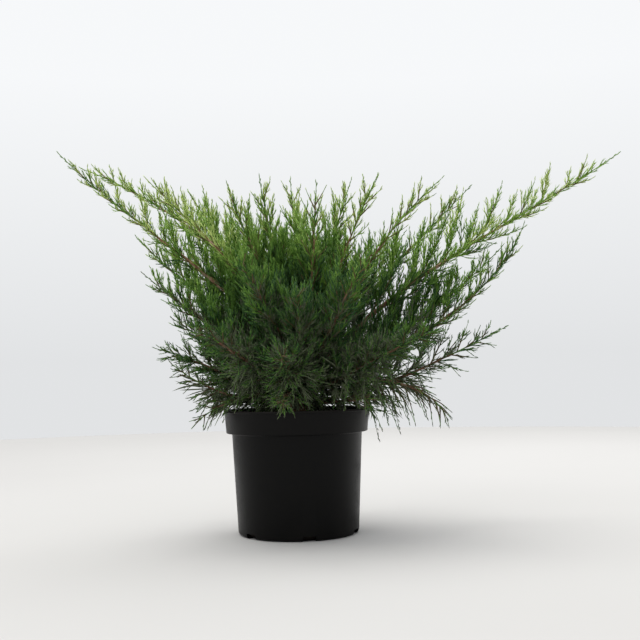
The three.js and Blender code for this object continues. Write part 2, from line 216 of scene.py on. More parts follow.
class Graph:
    """Builds the nodes of one tree."""

    def __init__(self, tree: bpy.types.NodeTree) -> None:
        """Takes an empty tree."""
        self.tree = tree

    def node(
        self,
        kind: str,
        settings: dict[str, Any] | None = None,
        values: dict[str | int, Any] | None = None,
        out: str | int = 0,
    ) -> Term:
        """Adds any node.

        Args:
            kind: the node's type.
            settings: its properties, which are set first.
            values: a value or a Term for each input by name or index.
            out: the output that is wanted, by name or index.

        Returns:
            That output.
        """
        made = self.tree.nodes.new(kind)
        for key, value in (settings or {}).items():
            setattr(made, key, value)
        for key, value in (values or {}).items():
            self.feed(self.pick(made.inputs, key), value)
        return Term(self, self.pick(made.outputs, out))

    @staticmethod
    def pick(sockets: Any, key: str | int) -> bpy.types.NodeSocket:
        """The socket of that index, or the one in use with that name.

        Args:
            sockets: a node's inputs or outputs.
            key: an index or a name.

        Returns:
            The socket.
        """
        if isinstance(key, int):
            return sockets[key]
        return next(s for s in sockets if s.name == key and s.enabled)

    def feed(self, socket: bpy.types.NodeSocket, value: Any) -> None:
        """Links a Term to an input, or sets the input's own value.

        Args:
            socket: the input.
            value: a Term, or a plain value.
        """
        if isinstance(value, Term):
            self.tree.links.new(value.socket, socket)
        elif socket.type == "RGBA" and len(value) == 3:
            socket.default_value = (*value, 1.0)
        else:
            socket.default_value = value

    def math(self, operation: str, *operands: Any) -> Term:
        """One Math node."""
        return self.node("ShaderNodeMath", {"operation": operation}, dict(enumerate(operands)))

    def scaled(self, vector: Any, factor: Any) -> Term:
        """A vector times a number."""
        return self.node("ShaderNodeVectorMath", {"operation": "SCALE"}, {"Vector": vector, "Scale": factor})

    def blend(self, factor: Any, low: Any, high: Any) -> Term:
        """A mix of two colours."""
        return self.node("ShaderNodeMix", {"data_type": "RGBA"}, {0: factor, 6: low, 7: high}, out=2)

    def ramp(self, value: Any, low: float, high: float) -> Term:
        """How far a number is from low to high, held between 0 and 1."""
        return self.node("ShaderNodeMapRange", {}, {"Value": value, "From Min": low, "From Max": high})

    def noise(self, place: Any, scale: float, detail: float = 2.0, roughness: float = 0.5) -> Term:
        """Noise from 0 to 1 at a place."""
        values = {"Vector": place, "Scale": scale, "Detail": detail, "Roughness": roughness}
        return self.node("ShaderNodeTexNoise", {}, values)


class Surface(Graph):
    """The node tree of one material, with a Principled shader."""

    def __init__(self, name: str, **fixed: Any) -> None:
        """Makes the material.

        Args:
            name: the material's name.
            fixed: values that are the same all over, by input name with _ for a space.
        """
        self.material = bpy.data.materials.new(name)
        self.material.use_nodes = True
        super().__init__(self.material.node_tree)
        self.shader = self.tree.nodes["Principled BSDF"]
        for key, value in fixed.items():
            self.feed(self.shader.inputs[key.replace("_", " ")], value)

    def place(self) -> Term:
        """Where a point is on the object."""
        return self.node("ShaderNodeTexCoord", out="Object")

    def attribute(self, name: str) -> Term:
        """A vector that is stored on the mesh."""
        return self.node("ShaderNodeAttribute", {"attribute_name": name}, out="Vector")

    def height(self) -> Term:
        """How high a point is."""
        return self.node("ShaderNodeSeparateXYZ", {}, {"Vector": self.place()}, out="Z")

    def paint(self, color: Any = None, roughness: Any = None, relief: Any = None, depth: float = 0.0) -> None:
        """Feeds what varies over the surface.

        Args:
            color: the base colour.
            roughness: the roughness.
            relief: the height of a bump pattern from 0 to 1.
            depth: how deep that pattern is, in metres.
        """
        if color is not None:
            self.feed(self.shader.inputs["Base Color"], color)
        if roughness is not None:
            self.feed(self.shader.inputs["Roughness"], roughness)
        if relief is not None:
            bump = self.node("ShaderNodeBump", {}, {"Height": relief, "Strength": 1.0, "Distance": depth})
            self.feed(self.shader.inputs["Normal"], bump)


class Recipe(Graph):
    """A Geometry Nodes tree with named inputs."""

    KINDS = {
        "Float": "NodeSocketFloat",
        "Int": "NodeSocketInt",
        "Collection": "NodeSocketCollection",
        "Material": "NodeSocketMaterial",
    }
    OWN = ("material_index", "sharp_face", "UVMap")

    def __init__(self, name: str, inputs: dict[str, str]) -> None:
        """Makes the tree.

        Args:
            name: the tree's name.
            inputs: the kind of each named input.
        """
        tree = bpy.data.node_groups.new(name, "GeometryNodeTree")
        tree.interface.new_socket(name="Geometry", in_out="INPUT", socket_type="NodeSocketGeometry")
        for label, kind in inputs.items():
            tree.interface.new_socket(name=label, in_out="INPUT", socket_type=self.KINDS[kind])
        tree.interface.new_socket(name="Geometry", in_out="OUTPUT", socket_type="NodeSocketGeometry")
        super().__init__(tree)
        self.source = tree.nodes.new("NodeGroupInput")

    def given(self, label: str) -> Term:
        """One of the tree's inputs."""
        return Term(self, self.source.outputs[label])

    def stored(self, name: str, kind: str = "FLOAT") -> Term:
        """An attribute of the geometry."""
        settings = {"data_type": kind}
        return self.node("GeometryNodeInputNamedAttribute", settings, {"Name": name}, out="Attribute")

    def store(self, geometry: Term, name: str, value: Term, kind: str = "FLOAT") -> Term:
        """The geometry with an attribute stored on its points."""
        values = {"Geometry": geometry, "Name": name, "Value": value}
        return self.node("GeometryNodeStoreNamedAttribute", {"data_type": kind}, values)

    def finish(self, geometry: Term) -> None:
        """Realizes what is instanced, gives it the material and ends the tree.

        Args:
            geometry: what the tree has made.
        """
        real = self.node("GeometryNodeRealizeInstances", {}, {"Geometry": geometry})
        values = {"Geometry": real, "Material": self.given("Material")}
        end = self.tree.nodes.new("NodeGroupOutput")
        self.tree.links.new(self.node("GeometryNodeSetMaterial", {}, values).socket, end.inputs[0])

    def grow(
        self, name: str, base: bpy.types.Mesh, keep: Sequence[str] = (), **inputs: Any
    ) -> bpy.types.Object:
        """Runs the tree on a mesh.

        Args:
            name: the new piece's name.
            base: the mesh that goes in.
            keep: attributes that the new mesh keeps.
            inputs: a value for each named input.

        Returns:
            An object with a plain mesh and no modifier.
        """
        obj = bpy.data.objects.new(name, base)
        bpy.context.scene.collection.objects.link(obj)
        modifier = obj.modifiers.new("recipe", "NODES")
        modifier.node_group = self.tree
        for item in self.tree.interface.items_tree:
            if item.in_out == "INPUT" and item.name in inputs:
                modifier[item.identifier] = inputs[item.name]
        obj.update_tag()
        graph = bpy.context.evaluated_depsgraph_get()
        mesh = bpy.data.meshes.new_from_object(obj.evaluated_get(graph), depsgraph=graph)
        obj.modifiers.clear()
        obj.data = mesh
        bpy.data.meshes.remove(base)
        mesh.name = name
        for extra in [a.name for a in mesh.attributes if not a.is_internal and not a.is_required]:
            if extra not in (*keep, *self.OWN):
                mesh.attributes.remove(mesh.attributes[extra])
        return obj


# Meshes


def mesh_from(name: str, points: Array, faces: Iterable[Sequence[int]]) -> bpy.types.Mesh:
    """A mesh from points and faces, smooth-shaded.

    Args:
        name: the mesh's name.
        points: where each point is.
        faces: the points of each face, in order.

    Returns:
        The mesh.
    """
    mesh = bpy.data.meshes.new(name)
    mesh.from_pydata(np.asarray(points).tolist(), [], [list(map(int, f)) for f in faces])
    mesh.shade_smooth()
    mesh.update()
    return mesh


def add_attribute(mesh: bpy.types.Mesh, name: str, values: Array) -> None:
    """Stores a number or a vector for each point of a mesh.

    Args:
        mesh: the mesh.
        name: the attribute's name.
        values: a number or a vector for each point.
    """
    values = np.asarray(values, np.float32)
    vector = values.shape[-1] == 3 and values.ndim == 2
    layer = mesh.attributes.new(name, "FLOAT_VECTOR" if vector else "FLOAT", "POINT")
    layer.data.foreach_set("vector" if vector else "value", values.ravel())


def strands(name: str, lines: Array, thickness: Array) -> bpy.types.Mesh:
    """Lines through points, each with its thickness there.

    Args:
        name: the mesh's name.
        lines: places, as line by point by 3.
        thickness: the radius at each.

    Returns:
        A mesh of edges with the attribute thickness.
    """
    count, steps = lines.shape[:2]
    mesh = bpy.data.meshes.new(name)
    mesh.vertices.add(count * steps)
    mesh.vertices.foreach_set("co", lines.astype(np.float32).ravel())
    starts = (np.arange(count)[:, None] * steps + np.arange(steps - 1)[None, :]).ravel()
    mesh.edges.add(len(starts))
    mesh.edges.foreach_set("vertices", np.stack([starts, starts + 1], axis=1).astype(np.int32).ravel())
    add_attribute(mesh, "thickness", thickness.ravel())
    mesh.update()
    return mesh


def ring_faces(rings: int, sides: int) -> list[tuple[int, int, int, int]]:
    """The faces between rings of points, facing out where the rings rise anticlockwise.

    Args:
        rings: how many rings there are.
        sides: how many points each has.

    Returns:
        The four points of each face.
    """
    return [
        (j * sides + k, j * sides + (k + 1) % sides, (j + 1) * sides + (k + 1) % sides, (j + 1) * sides + k)
        for j in range(rings - 1)
        for k in range(sides)
    ]


def turned(name: str, profile: Array, sides: int) -> bpy.types.Mesh:
    """A closed body turned round the upright axis.

    Args:
        name: the mesh's name.
        profile: radius and height from the axis at the bottom, round the outside, to the axis at the top.
        sides: points round it.

    Returns:
        The mesh, facing out.
    """
    inner = profile[1:-1]
    angles = np.arange(sides) * 2 * math.pi / sides
    rings = np.stack(
        [
            inner[:, :1] * np.cos(angles),
            inner[:, :1] * np.sin(angles),
            np.repeat(inner[:, 1:], sides, axis=1),
        ],
        axis=-1,
    ).reshape(-1, 3)
    points = np.vstack([rings, [[0, 0, profile[0, 1]], [0, 0, profile[-1, 1]]]])
    faces: list[Sequence[int]] = list(ring_faces(len(inner), sides))
    low, high, last = len(rings), len(rings) + 1, (len(inner) - 1) * sides
    for k in range(sides):
        faces.append((low, (k + 1) % sides, k))
        faces.append((high, last + k, last + (k + 1) % sides))
    return mesh_from(name, points, faces)


def rounded(corners: Sequence[tuple[float, float, float]], steps: int) -> Array:
    """A profile whose corners are rounded.

    Args:
        corners: radius, height and rounding of each corner.
        steps: points on each rounding.

    Returns:
        The points of the profile.
    """
    places = np.array([c[:2] for c in corners])
    points = [places[0]]
    for i in range(1, len(corners) - 1):
        before, here, after = places[i - 1], places[i], places[i + 1]
        reach = corners[i][2]
        if reach <= 0:
            points.append(here)
            continue
        a = here + unit(before - here) * min(reach, np.linalg.norm(before - here) * MOST_ROUNDING)
        b = here + unit(after - here) * min(reach, np.linalg.norm(after - here) * MOST_ROUNDING)
        for s in np.linspace(0, 1, steps):
            points.append(a * (1 - s) ** 2 + here * 2 * s * (1 - s) + b * s**2)
    points.append(places[-1])
    return np.array(points)


def place(obj: bpy.types.Object, slot: str, nodes: Iterable[str]) -> bpy.types.Object:
    """Attaches a piece to the root body, hides the CAD nodes that it stands for and logs its faces.

    Args:
        obj: the piece.
        slot: the record's material slot; not used.
        nodes: the CAD nodes that it stands for.

    Returns:
        The piece.
    """
    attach(obj, "root")
    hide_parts(*nodes)
    log.info("%s: %d faces", obj.name, len(obj.data.polygons))
    return obj


def show(name: str, mesh: bpy.types.Mesh, material: bpy.types.Material) -> bpy.types.Object:
    """A new object in the scene with one material.

    Args:
        name: the object's name.
        mesh: its mesh.
        material: what it is made of.

    Returns:
        The object.
    """
    obj = bpy.data.objects.new(name, mesh)
    mesh.materials.clear()
    mesh.materials.append(material)
    bpy.context.scene.collection.objects.link(obj)
    return obj


# Finishes


@dataclass(frozen=True)
class Needles:
    """Green foliage of one tone, a little uneven from place to place.

    Attributes:
        name: the material's name.
        light: its colour where it is lightest.
        dark: its colour where it is darkest.
        patchy: the share of the unevenness that is in patches; the rest is in a fine grain.
    """

    name: str
    light: Color
    dark: Color
    patchy: float = 0.65

    def build(self) -> bpy.types.Material:
        """Builds the material.

        Returns:
            The material, patchy in tone.
        """
        s = Surface(self.name, Roughness=0.62, Specular_IOR_Level=0.28)
        patches = s.noise(s.place(), scale=26.0)
        grain = s.noise(s.place(), scale=420.0, detail=1.0)
        share = s.ramp(patches * self.patchy + grain * (1 - self.patchy), low=0.32, high=0.68)
        s.paint(color=s.blend(share, self.dark, self.light))
        return s.material


@dataclass(frozen=True)
class Bark:
    """Fibrous bark, in strips and furrows that run along the limb, with painted shade that darkens it low
    down.

    Attributes:
        name: the material's name.
        strip: the colour of its strips.
        furrow: the colour between them.
        pale: the colour of its pale blotches.
        shade: the darker colour of the painted shade that it turns to low down.
    """

    name: str
    strip: Color
    furrow: Color
    pale: Color
    shade: Color

    SHADED = 0.65

    def build(self) -> bpy.types.Material:
        """Builds the material.

        Returns:
            The material, for meshes with the attribute grain.
        """
        s = Surface(self.name, Roughness=0.86, Specular_IOR_Level=0.2)
        grain = s.attribute("grain")
        fibres = s.noise(grain, scale=3.2, detail=5.0, roughness=0.62)
        blotches = s.noise(s.place(), scale=60.0, detail=3.0)
        ground = s.blend(s.ramp(fibres, low=0.36, high=0.62), self.furrow, self.strip)
        color = s.blend(s.ramp(blotches, low=0.5, high=0.72), ground, self.pale)
        # Painted shade: the bark darkens towards its shade colour low on the shrub.
        low = (1.0 - s.ramp(s.height(), low=0.32, high=0.56)) * self.SHADED
        s.paint(color=s.blend(low, color, self.shade), relief=fibres, depth=0.0012)
        return s.material


@dataclass(frozen=True)
class Plastic:
    """Black nursery-pot plastic with faint dust, a little lighter towards the foot and on the collar, with a
    painted highlight along the lip.

    Attributes:
        name: the material's name.
        base: the plastic's colour.
        dust: the colour of the faint dust, and of the painted highlight along the lip.
    """

    name: str
    base: Color
    dust: Color

    def build(self) -> bpy.types.Material:
        """Builds the material.

        Returns:
            The material, for the whole pot.
        """
        s = Surface(self.name, Specular_IOR_Level=0.12)
        cloud = s.noise(s.place(), scale=16.0, detail=4.0, roughness=0.6)
        speck = s.noise(s.place(), scale=240.0)
        foot = 1.0 - s.ramp(s.height(), low=0.0, high=0.05)
        shelf = POT_HEIGHT - COLLAR_HEIGHT
        collar = s.ramp(s.height(), low=shelf - 0.001, high=shelf + 0.006)
        amount = s.ramp(cloud * 0.75 + speck * 0.25 + foot * 0.1, low=0.5, high=0.78)
        # Painted highlight: the lip is blended most towards the dust colour, so that the rim's top edge looks
        # lit.
        lip = s.ramp(s.height(), low=POT_HEIGHT - LIP_HEIGHT, high=POT_HEIGHT)
        share = amount * 0.07 + collar * 0.02 + lip * 0.2
        s.paint(
            color=s.blend(share, self.base, self.dust),
            roughness=0.36 + amount * 0.22,
            relief=speck,
            depth=0.00006,
        )
        return s.material


@dataclass(frozen=True)
class Peat:
    """Dark potting mix: nearly black peat with browner bits, which fade out low down as painted shade.

    Attributes:
        name: the material's name.
        base: the peat's colour.
        bits: the bits' colour.
    """

    name: str
    base: Color
    bits: Color

    def build(self) -> bpy.types.Material:
        """Builds the material.

        Returns:
            The material, for the bed and its crumbs.
        """
        s = Surface(self.name, Roughness=0.95, Specular_IOR_Level=0.12)
        lumps = s.noise(s.place(), scale=180.0, detail=3.0, roughness=0.6)
        fine = s.noise(s.place(), scale=900.0)
        # Painted shade: low in the pot, where the soil shows through the drain slots, the bits fade to the
        # near-black peat.
        share = s.ramp(lumps, low=0.42, high=0.68) * s.ramp(s.height(), low=0.03, high=0.12)
        s.paint(color=s.blend(share, self.base, self.bits), relief=fine, depth=0.0008)
        return s.material


# The tones are lit and shaded copies of one green, dealt by Lightness: painted light and painted shade.
NEEDLE_TONES = {
    Tone.LIME: Needles("needles_lime", (0.62, 0.75, 0.25), (0.44, 0.59, 0.15)),
    Tone.FRESH: Needles("needles_fresh", (0.33, 0.54, 0.1), (0.2, 0.37, 0.055)),
    Tone.MID: Needles("needles_mid", (0.15, 0.31, 0.042), (0.08, 0.185, 0.026)),
    Tone.DEEP: Needles("needles_deep", (0.05, 0.145, 0.044), (0.036, 0.082, 0.016)),
    Tone.SHADE: Needles("needles_shade", (0.17, 0.205, 0.12), (0.082, 0.102, 0.058)),
}
BARK = Bark(
    "juniper_bark",
    strip=(0.47, 0.27, 0.165),
    furrow=(0.17, 0.085, 0.05),
    pale=(0.66, 0.47, 0.33),
    shade=(0.11, 0.065, 0.038),
)
TWIG_BARK = Bark(
    "twig_bark",
    strip=(0.23, 0.175, 0.08),
    furrow=(0.11, 0.082, 0.038),
    pale=(0.32, 0.28, 0.13),
    shade=(0.11, 0.08, 0.042),
)
BLACK_PLASTIC = Plastic("black_plastic", (0.0016, 0.0016, 0.0015), (0.04, 0.032, 0.027))
POTTING_SOIL = Peat("potting_soil", (0.012, 0.009, 0.007), (0.075, 0.045, 0.028))


# Growth


@dataclass(frozen=True)
class Habit:
    """How one kind of limb grows.

    Attributes:
        bare: the share of it that is bare wood.
        reach: the length of its longest shoot.
        fade: how fast its shoots shorten towards the tip.
        lift: how much they turn up.
        spread: how far they stand out.
        side_reach: the longest side twig for a shoot of length 1.
        fullness: how many of the side twigs grow.
        first_cord: where along the limb its own leafy cords begin.
        whip: whether it is all twig, with no bough.
    """

    bare: float
    reach: float
    fade: float
    lift: float
    spread: float
    side_reach: float
    fullness: float
    first_cord: float = 0.3
    whip: bool = False

    MORE_DROOP = 0.2
    MORE_LIFT = 0.35

    @property
    def droops(self) -> bool:
        """Whether its twigs hang."""
        return self.lift < DROOPING_LIFT

    @property
    def twig_lift(self) -> float:
        """How much its side twigs turn up."""
        return self.lift - self.MORE_DROOP if self.droops else self.lift + self.MORE_LIFT


# Bare, reach, fade, lift, spread, side reach, fullness and first cord
WING = Habit(0.22, 0.185, 0.6, 0.4, 0.95, 0.52, 1.0, 0.64)
LASH = Habit(0.22, 0.165, 0.85, 0.45, 0.9, 0.56, 1.25, 0.6)
FAN = Habit(0.2, 0.180, 1.5, 0.35, 1.0, 0.54, 1.1, 0.5)
UPRIGHT = Habit(0.16, 0.155, 0.6, 0.4, 1.1, 0.56, 0.95)
FLANK = Habit(0.14, 0.160, 0.6, 0.45, 1.1, 0.64, 1.4)
ARM = Habit(0.14, 0.155, 0.6, 0.45, 1.1, 0.64, 1.3, whip=True)
SKIRT = Habit(0.12, 0.140, 0.6, 0.1, 1.2, 0.70, 1.3, 0.1, whip=True)
DROOP = Habit(0.3, 0.100, 0.4, -0.8, 1.1, 0.75, 0.3, 0.1, whip=True)
TUFT = Habit(0.16, 0.105, 0.6, -0.1, 1.2, 0.80, 0.9, 0.1, whip=True)


@dataclass(frozen=True)
class Limb:
    """One limb, in mm and degrees.

    Attributes:
        name: the name that its CAD nodes end in.
        habit: how it grows.
        azimuth: the turn of its tip from +X, round the upright axis.
        reach: how far its tip is from that axis.
        height: how high its tip is.
        leave: how steeply it leaves the trunk.
        arrive: how steeply it ends.
        root: how high on the trunk it starts.
        fullness: the share of its fine twigs that it has, or more than 1 where it is dense.
    """

    name: str
    habit: Habit
    azimuth: float
    reach: float
    height: float
    leave: float
    arrive: float
    root: float
    fullness: float = 1.0


# Name, habit, azimuth, reach, height, leave, arrive, root and fullness
LIMBS = (
    Limb("left_wing", LASH, 180, 425, 690, 62, 47, 62, 1.2),
    Limb("left_wing_back", LASH, 166, 424, 684, 70, 22, 74, 1.2),
    Limb("left_gold", FAN, 194, 264, 628, 74, 46, 72, 0.85),
    Limb("left_flank", FLANK, 200, 274, 458, 38, 40, 48, 1.2),
    Limb("left_flank_back", FLANK, 168, 303, 542, 48, 46, 54, 1.2),
    Limb("left_arm", ARM, 176, 228, 388, 26, 34, 40, 1.3),
    Limb("left_skirt", SKIRT, 186, 252, 331, 18, 16, 30, 1.5),
    Limb("left_upright", UPRIGHT, 214, 135, 614, 74, 74, 84, 1.5),
    Limb("left_crest", UPRIGHT, 151, 236, 640, 72, 58, 86, 1.4),
    Limb("back_crest", UPRIGHT, 94, 88, 652, 84, 80, 92, 1.5),
    Limb("front_crest", UPRIGHT, -70, 128, 602, 74, 70, 88, 0.45),
    Limb("right_crest", UPRIGHT, 14, 112, 636, 78, 68, 90, 1.5),
    Limb("right_gold", FAN, -34, 181, 618, 70, 56, 80, 0.65),
    Limb("right_fan", FAN, -11, 270, 618, 64, 38, 70, 0.7),
    Limb("right_fan_back", FAN, 17, 358, 636, 58, 44, 66, 0.55),
    Limb("right_wing", WING, 0, 600, 672, 54, 34, 58),
    Limb("right_flank", LASH, -5, 411, 537, 24, 68, 48, 0.7),
    Limb("right_arm", ARM, 5, 386, 508, 32, 46, 46, 1.3),
    Limb("right_low", SKIRT, -5, 380, 358, 4, 26, 32, 0.65),
    Limb("front_left", FLANK, -112, 236, 478, 52, 40, 56),
    Limb("front_left_low", SKIRT, -132, 262, 366, 26, 20, 38),
    Limb("front_right", FLANK, -60, 256, 474, 48, 40, 58, 0.7),
    Limb("front_right_low", SKIRT, -37, 302, 350, 20, 18, 40, 2.2),
    Limb("back_left", FLANK, 128, 308, 559, 56, 44, 62),
    Limb("back", FLANK, 88, 292, 588, 60, 50, 68),
    Limb("back_right", FLANK, 48, 339, 572, 54, 44, 64, 0.5),
    Limb("back_low_left", SKIRT, 124, 290, 392, 30, 22, 44, 1.3),
    Limb("back_low_right", SKIRT, 58, 300, 384, 28, 22, 46, 1.3),
    Limb("left_droop", TUFT, 200, 192, 188, 34, -52, 26, 0.35),
    Limb("right_droop", DROOP, -14, 270, 183, 46, -86, 38, 0.45),
    Limb("front_droop", TUFT, -98, 168, 222, 34, -34, 28),
    Limb("front_mid", ARM, -88, 208, 420, 46, 40, 52),
    Limb("front_low", SKIRT, -96, 214, 316, 26, 16, 36),
    Limb("middle_crest", ARM, -127, 92, 624, 78, 80, 70, 1.5),
    Limb("low_left", TUFT, -164, 226, 306, 4, 44, 27),
    Limb("low_right", TUFT, -36, 172, 236, 5, 2, 27, 0.5),
    Limb("low_back", TUFT, 94, 196, 296, 8, 42, 28, 1.4),
)


def limb_values(value: Callable[[Limb], Any], limbs: Iterable[int] = range(len(LIMBS))) -> Array:
    """A value of each limb, for limbs given by their places in LIMBS."""
    return np.array([value(LIMBS[i]) for i in limbs])


def side_of(limb: int) -> Side:
    """The side of the shrub that a limb reaches into."""
    return Side.LEFT if math.cos(math.radians(LIMBS[limb].azimuth)) < SIDE_SPLIT else Side.RIGHT


def mass_nodes(side: Side) -> list[str]:
    """The CAD masses on one side."""
    return [f"foliage_{limb.name}" for i, limb in enumerate(LIMBS) if side_of(i) is side]


@dataclass(frozen=True)
class Rows:
    """Columns of equal length, with one row for each thing that grows on a limb.

    Attributes:
        limb: the place in LIMBS of its limb.
    """

    limb: Array

    def where(self, keep: Array) -> Self:
        """The rows that a mask or an index keeps."""
        return type(self)(*(getattr(self, column.name)[keep] for column in fields(self)))

    def joined(self, *others: Self) -> Self:
        """These rows followed by others."""
        tables = (self, *others)
        return type(self)(*(np.concatenate([getattr(t, c.name) for t in tables]) for c in fields(self)))

    def on(self, side: Side) -> Self:
        """The rows whose limb reaches into one side."""
        return self.where(np.array([side_of(i) is side for i in self.limb]))


@dataclass(frozen=True)
class Stems(Rows):
    """Many stems at once, each a Bezier curve.

    Attributes:
        control: the curves' control points, as stem by point by 3.
        seed: the number that each stem's own draws start from.
        outward: how far out on the limb it stands, from 0 to 1.
    """

    control: Array
    seed: Array
    outward: Array

    LENGTH_STEPS = 33

    def __len__(self) -> int:
        """The number of stems."""
        return len(self.control)

    @staticmethod
    def weights(t: Array, order: int) -> Array:
        """Bernstein weights at parameters, with one more axis for the control points."""
        terms = [math.comb(order, i) * t**i * (1 - t) ** (order - i) for i in range(order + 1)]
        return np.stack(terms, axis=-1)

    def steps(self, first: float, last: float, count: int) -> Array:
        """The same parameters for each stem, evenly from first to last."""
        return np.tile(np.linspace(first, last, count), (len(self), 1))

    def points(self, t: Array) -> Array:
        """Places on each stem at parameters given as stem by step."""
        return np.einsum("nmk,nkc->nmc", self.weights(t, self.control.shape[1] - 1), self.control)

    def slopes(self, t: Array) -> Array:
        """Directions of each stem at parameters given as stem by step."""
        edges = np.diff(self.control, axis=1)
        return unit(np.einsum("nmk,nkc->nmc", self.weights(t, edges.shape[1] - 1), edges))

    def lengths(self) -> Array:
        """How long each stem is."""
        places = self.points(self.steps(0, 1, self.LENGTH_STEPS))
        return np.linalg.norm(np.diff(places, axis=1), axis=-1).sum(axis=1)

    def each(self, value: Callable[[Limb], Any]) -> Array:
        """A value of its limb for each stem."""
        return limb_values(value, self.limb)

    @staticmethod
    def across(along: Array) -> tuple[Array, Array]:
        """A level direction across each given direction, and the one square to both that points up."""
        side = unit(np.cross(along, UP))
        return side, np.cross(side, along)


@dataclass(frozen=True)
class Room:
    """The room that the shrub may fill: a box, less the pot.

    Attributes:
        low: the box's lowest corner.
        high: its highest corner.
        play: how far foliage may pass the box.
        off_pot: how far it stays off the pot's outside.
        off_bowl: how far it stays off the soil and the wall inside the rim.
    """

    low: Array
    high: Array
    play: float = 0.004
    off_pot: float = 0.002
    off_bowl: float = 0.004

    CHECKED = (0.33, 1.0, 5)

    def allows(self, points: Array, bowl: bool = True) -> Array:
        """Whether places are outside the pot and inside the box.

        Args:
            points: the places.
            bowl: whether the hollow between the soil and the rim counts as outside the pot.

        Returns:
            A mask.
        """
        radius, height = np.hypot(points[..., 0], points[..., 1]), points[..., 2]
        in_pot = (radius < RIM_RADIUS + self.off_pot) & (height < POT_HEIGHT + self.off_pot)
        if bowl:
            wall = RIM_RADIUS - LIP_PROUD - WALL - self.off_bowl
            in_pot &= (radius > wall) | (height < SOIL_TOP + self.off_bowl)
        inside = np.all((points > self.low - self.play) & (points < self.high + self.play), axis=-1)
        return inside & ~in_pot

    def clears(self, stems: Stems, bowl: bool = True) -> Array:
        """Whether the outer two thirds of each stem are allowed where they are."""
        return self.allows(stems.points(stems.steps(*self.CHECKED)), bowl).all(axis=1)


@dataclass(frozen=True)
class Offshoots:
    """The seeded rule by which shoots leave a stem: a golden angle on from the last, bent up at the end.

    Attributes:
        count: the places along each stem.
        last: where along the stem the last one stands.
        angle: how wide they open.
        bend: the share of the lift that turns their ends.
    """

    count: int
    last: float = 0.9
    angle: float = math.radians(38)
    bend: float = 0.35

    PLACE = Draw(-0.5, 1.0)
    TURN = Draw(0.0, 0.8, 50)
    OPENING = Draw(0.85, 0.3, 100)
    LUCK = Draw(0.75, 0.4, 150)
    FOOT_LIFT = 0.5
    LEAST = 0.25
    UNDERSIDE_LOSS = 0.3
    SEED_STEPS = (1.37, 0.613, 5.1)

    def grow(self, parents: Stems, first: Any, reach: Any, fade: Any, lift: Any, spread: Any) -> Stems:
        """Grows every shoot of the rule on every stem. Each size is one number or a number for each stem.

        Args:
            parents: the stems that they grow on.
            first: where along each stem the first one stands.
            reach: the longest shoot of each stem.
            fade: how fast its shoots shorten towards the tip.
            lift: how much each stem's shoots turn up.
            spread: how far they stand out.

        Returns:
            The shoots, stem after stem.
        """
        index = np.arange(self.count)[None, :]
        seed = parents.seed[:, None]
        sizes = (np.broadcast_to(v, len(parents))[:, None] for v in (first, reach, fade, lift, spread))
        first, reach, fade, lift, spread = sizes
        share = (index + 0.5 + 0.5 * self.PLACE.of(seed, index)) / self.count
        start = first + (self.last - first) * share
        along = parents.slopes(start)
        side, top = parents.across(along)
        turn = GOLDEN_ANGLE * index + self.TURN.of(seed, index)
        opening = self.angle * self.OPENING.of(seed, index)
        away = along * np.cos(opening)[..., None]
        away = away + side * (np.sin(opening) * spread * np.cos(turn))[..., None]
        away = away + top * (np.sin(opening) * spread * np.sin(turn))[..., None]
        away = unit(away + UP * (self.FOOT_LIFT * lift)[..., None])
        under = 0.5 - 0.5 * np.sin(turn) * np.sign(lift)
        fullness = (1 - share) ** fade * (1 - self.UNDERSIDE_LOSS * under) * self.LUCK.of(seed, index)
        length = (reach * np.maximum(fullness, self.LEAST))[..., None]
        foot = parents.points(start)
        end = unit(away + UP * (self.bend * lift)[..., None])
        control = np.stack([foot, foot + away * length / 2, foot + end * length], axis=2)
        by_parent, by_index, shift = self.SEED_STEPS
        own_seed = seed * by_parent + index * by_index + shift
        outward = lerp(parents.outward[:, None], 1, start)
        limb = np.repeat(parents.limb, self.count)
        return Stems(limb, control.reshape(-1, 3, 3), own_seed.ravel(), outward.ravel())


@dataclass(frozen=True)
class BasalTwigs:
    """Twigs straight on the feet of limbs, such as those that hang over the soil and the rim.

    Attributes:
        habits: the habits of the limbs that have them.
        rule: how they leave the limb.
        lift: how much they turn up.
        least: the fullness that even a thin limb has.
        reach: how long they are.
    """

    habits: tuple[Habit, ...]
    rule: Offshoots
    lift: float
    least: float
    reach: float = 0.1

    LUCK = Draw(0.0, 1.0, 210)
    FIRST = 0.1
    FADE = 0.2
    SPREAD = 1.3
    SHARE = 0.8
    SEED_SHIFT = 0.37
    OUTWARD = 0.3

    def grow(self, limbs: Stems, room: Room) -> Stems:
        """Grows twigs on the limbs that have its habits.

        Args:
            limbs: all limbs.
            room: where a twig may be.

        Returns:
            The twigs that chance leaves and that are clear of the pot.
        """
        own = limbs.where(limbs.each(lambda limb: limb.habit in self.habits))
        twigs = self.rule.grow(own, self.FIRST, self.reach, self.FADE, self.lift, self.SPREAD)
        wanted = self.SHARE * np.maximum(twigs.each(lambda limb: limb.fullness), self.least)
        twigs = twigs.where(room.clears(twigs) & (self.LUCK.of(twigs.seed) < wanted))
        return replace(twigs, seed=twigs.seed + self.SEED_SHIFT, outward=twigs.outward * self.OUTWARD)


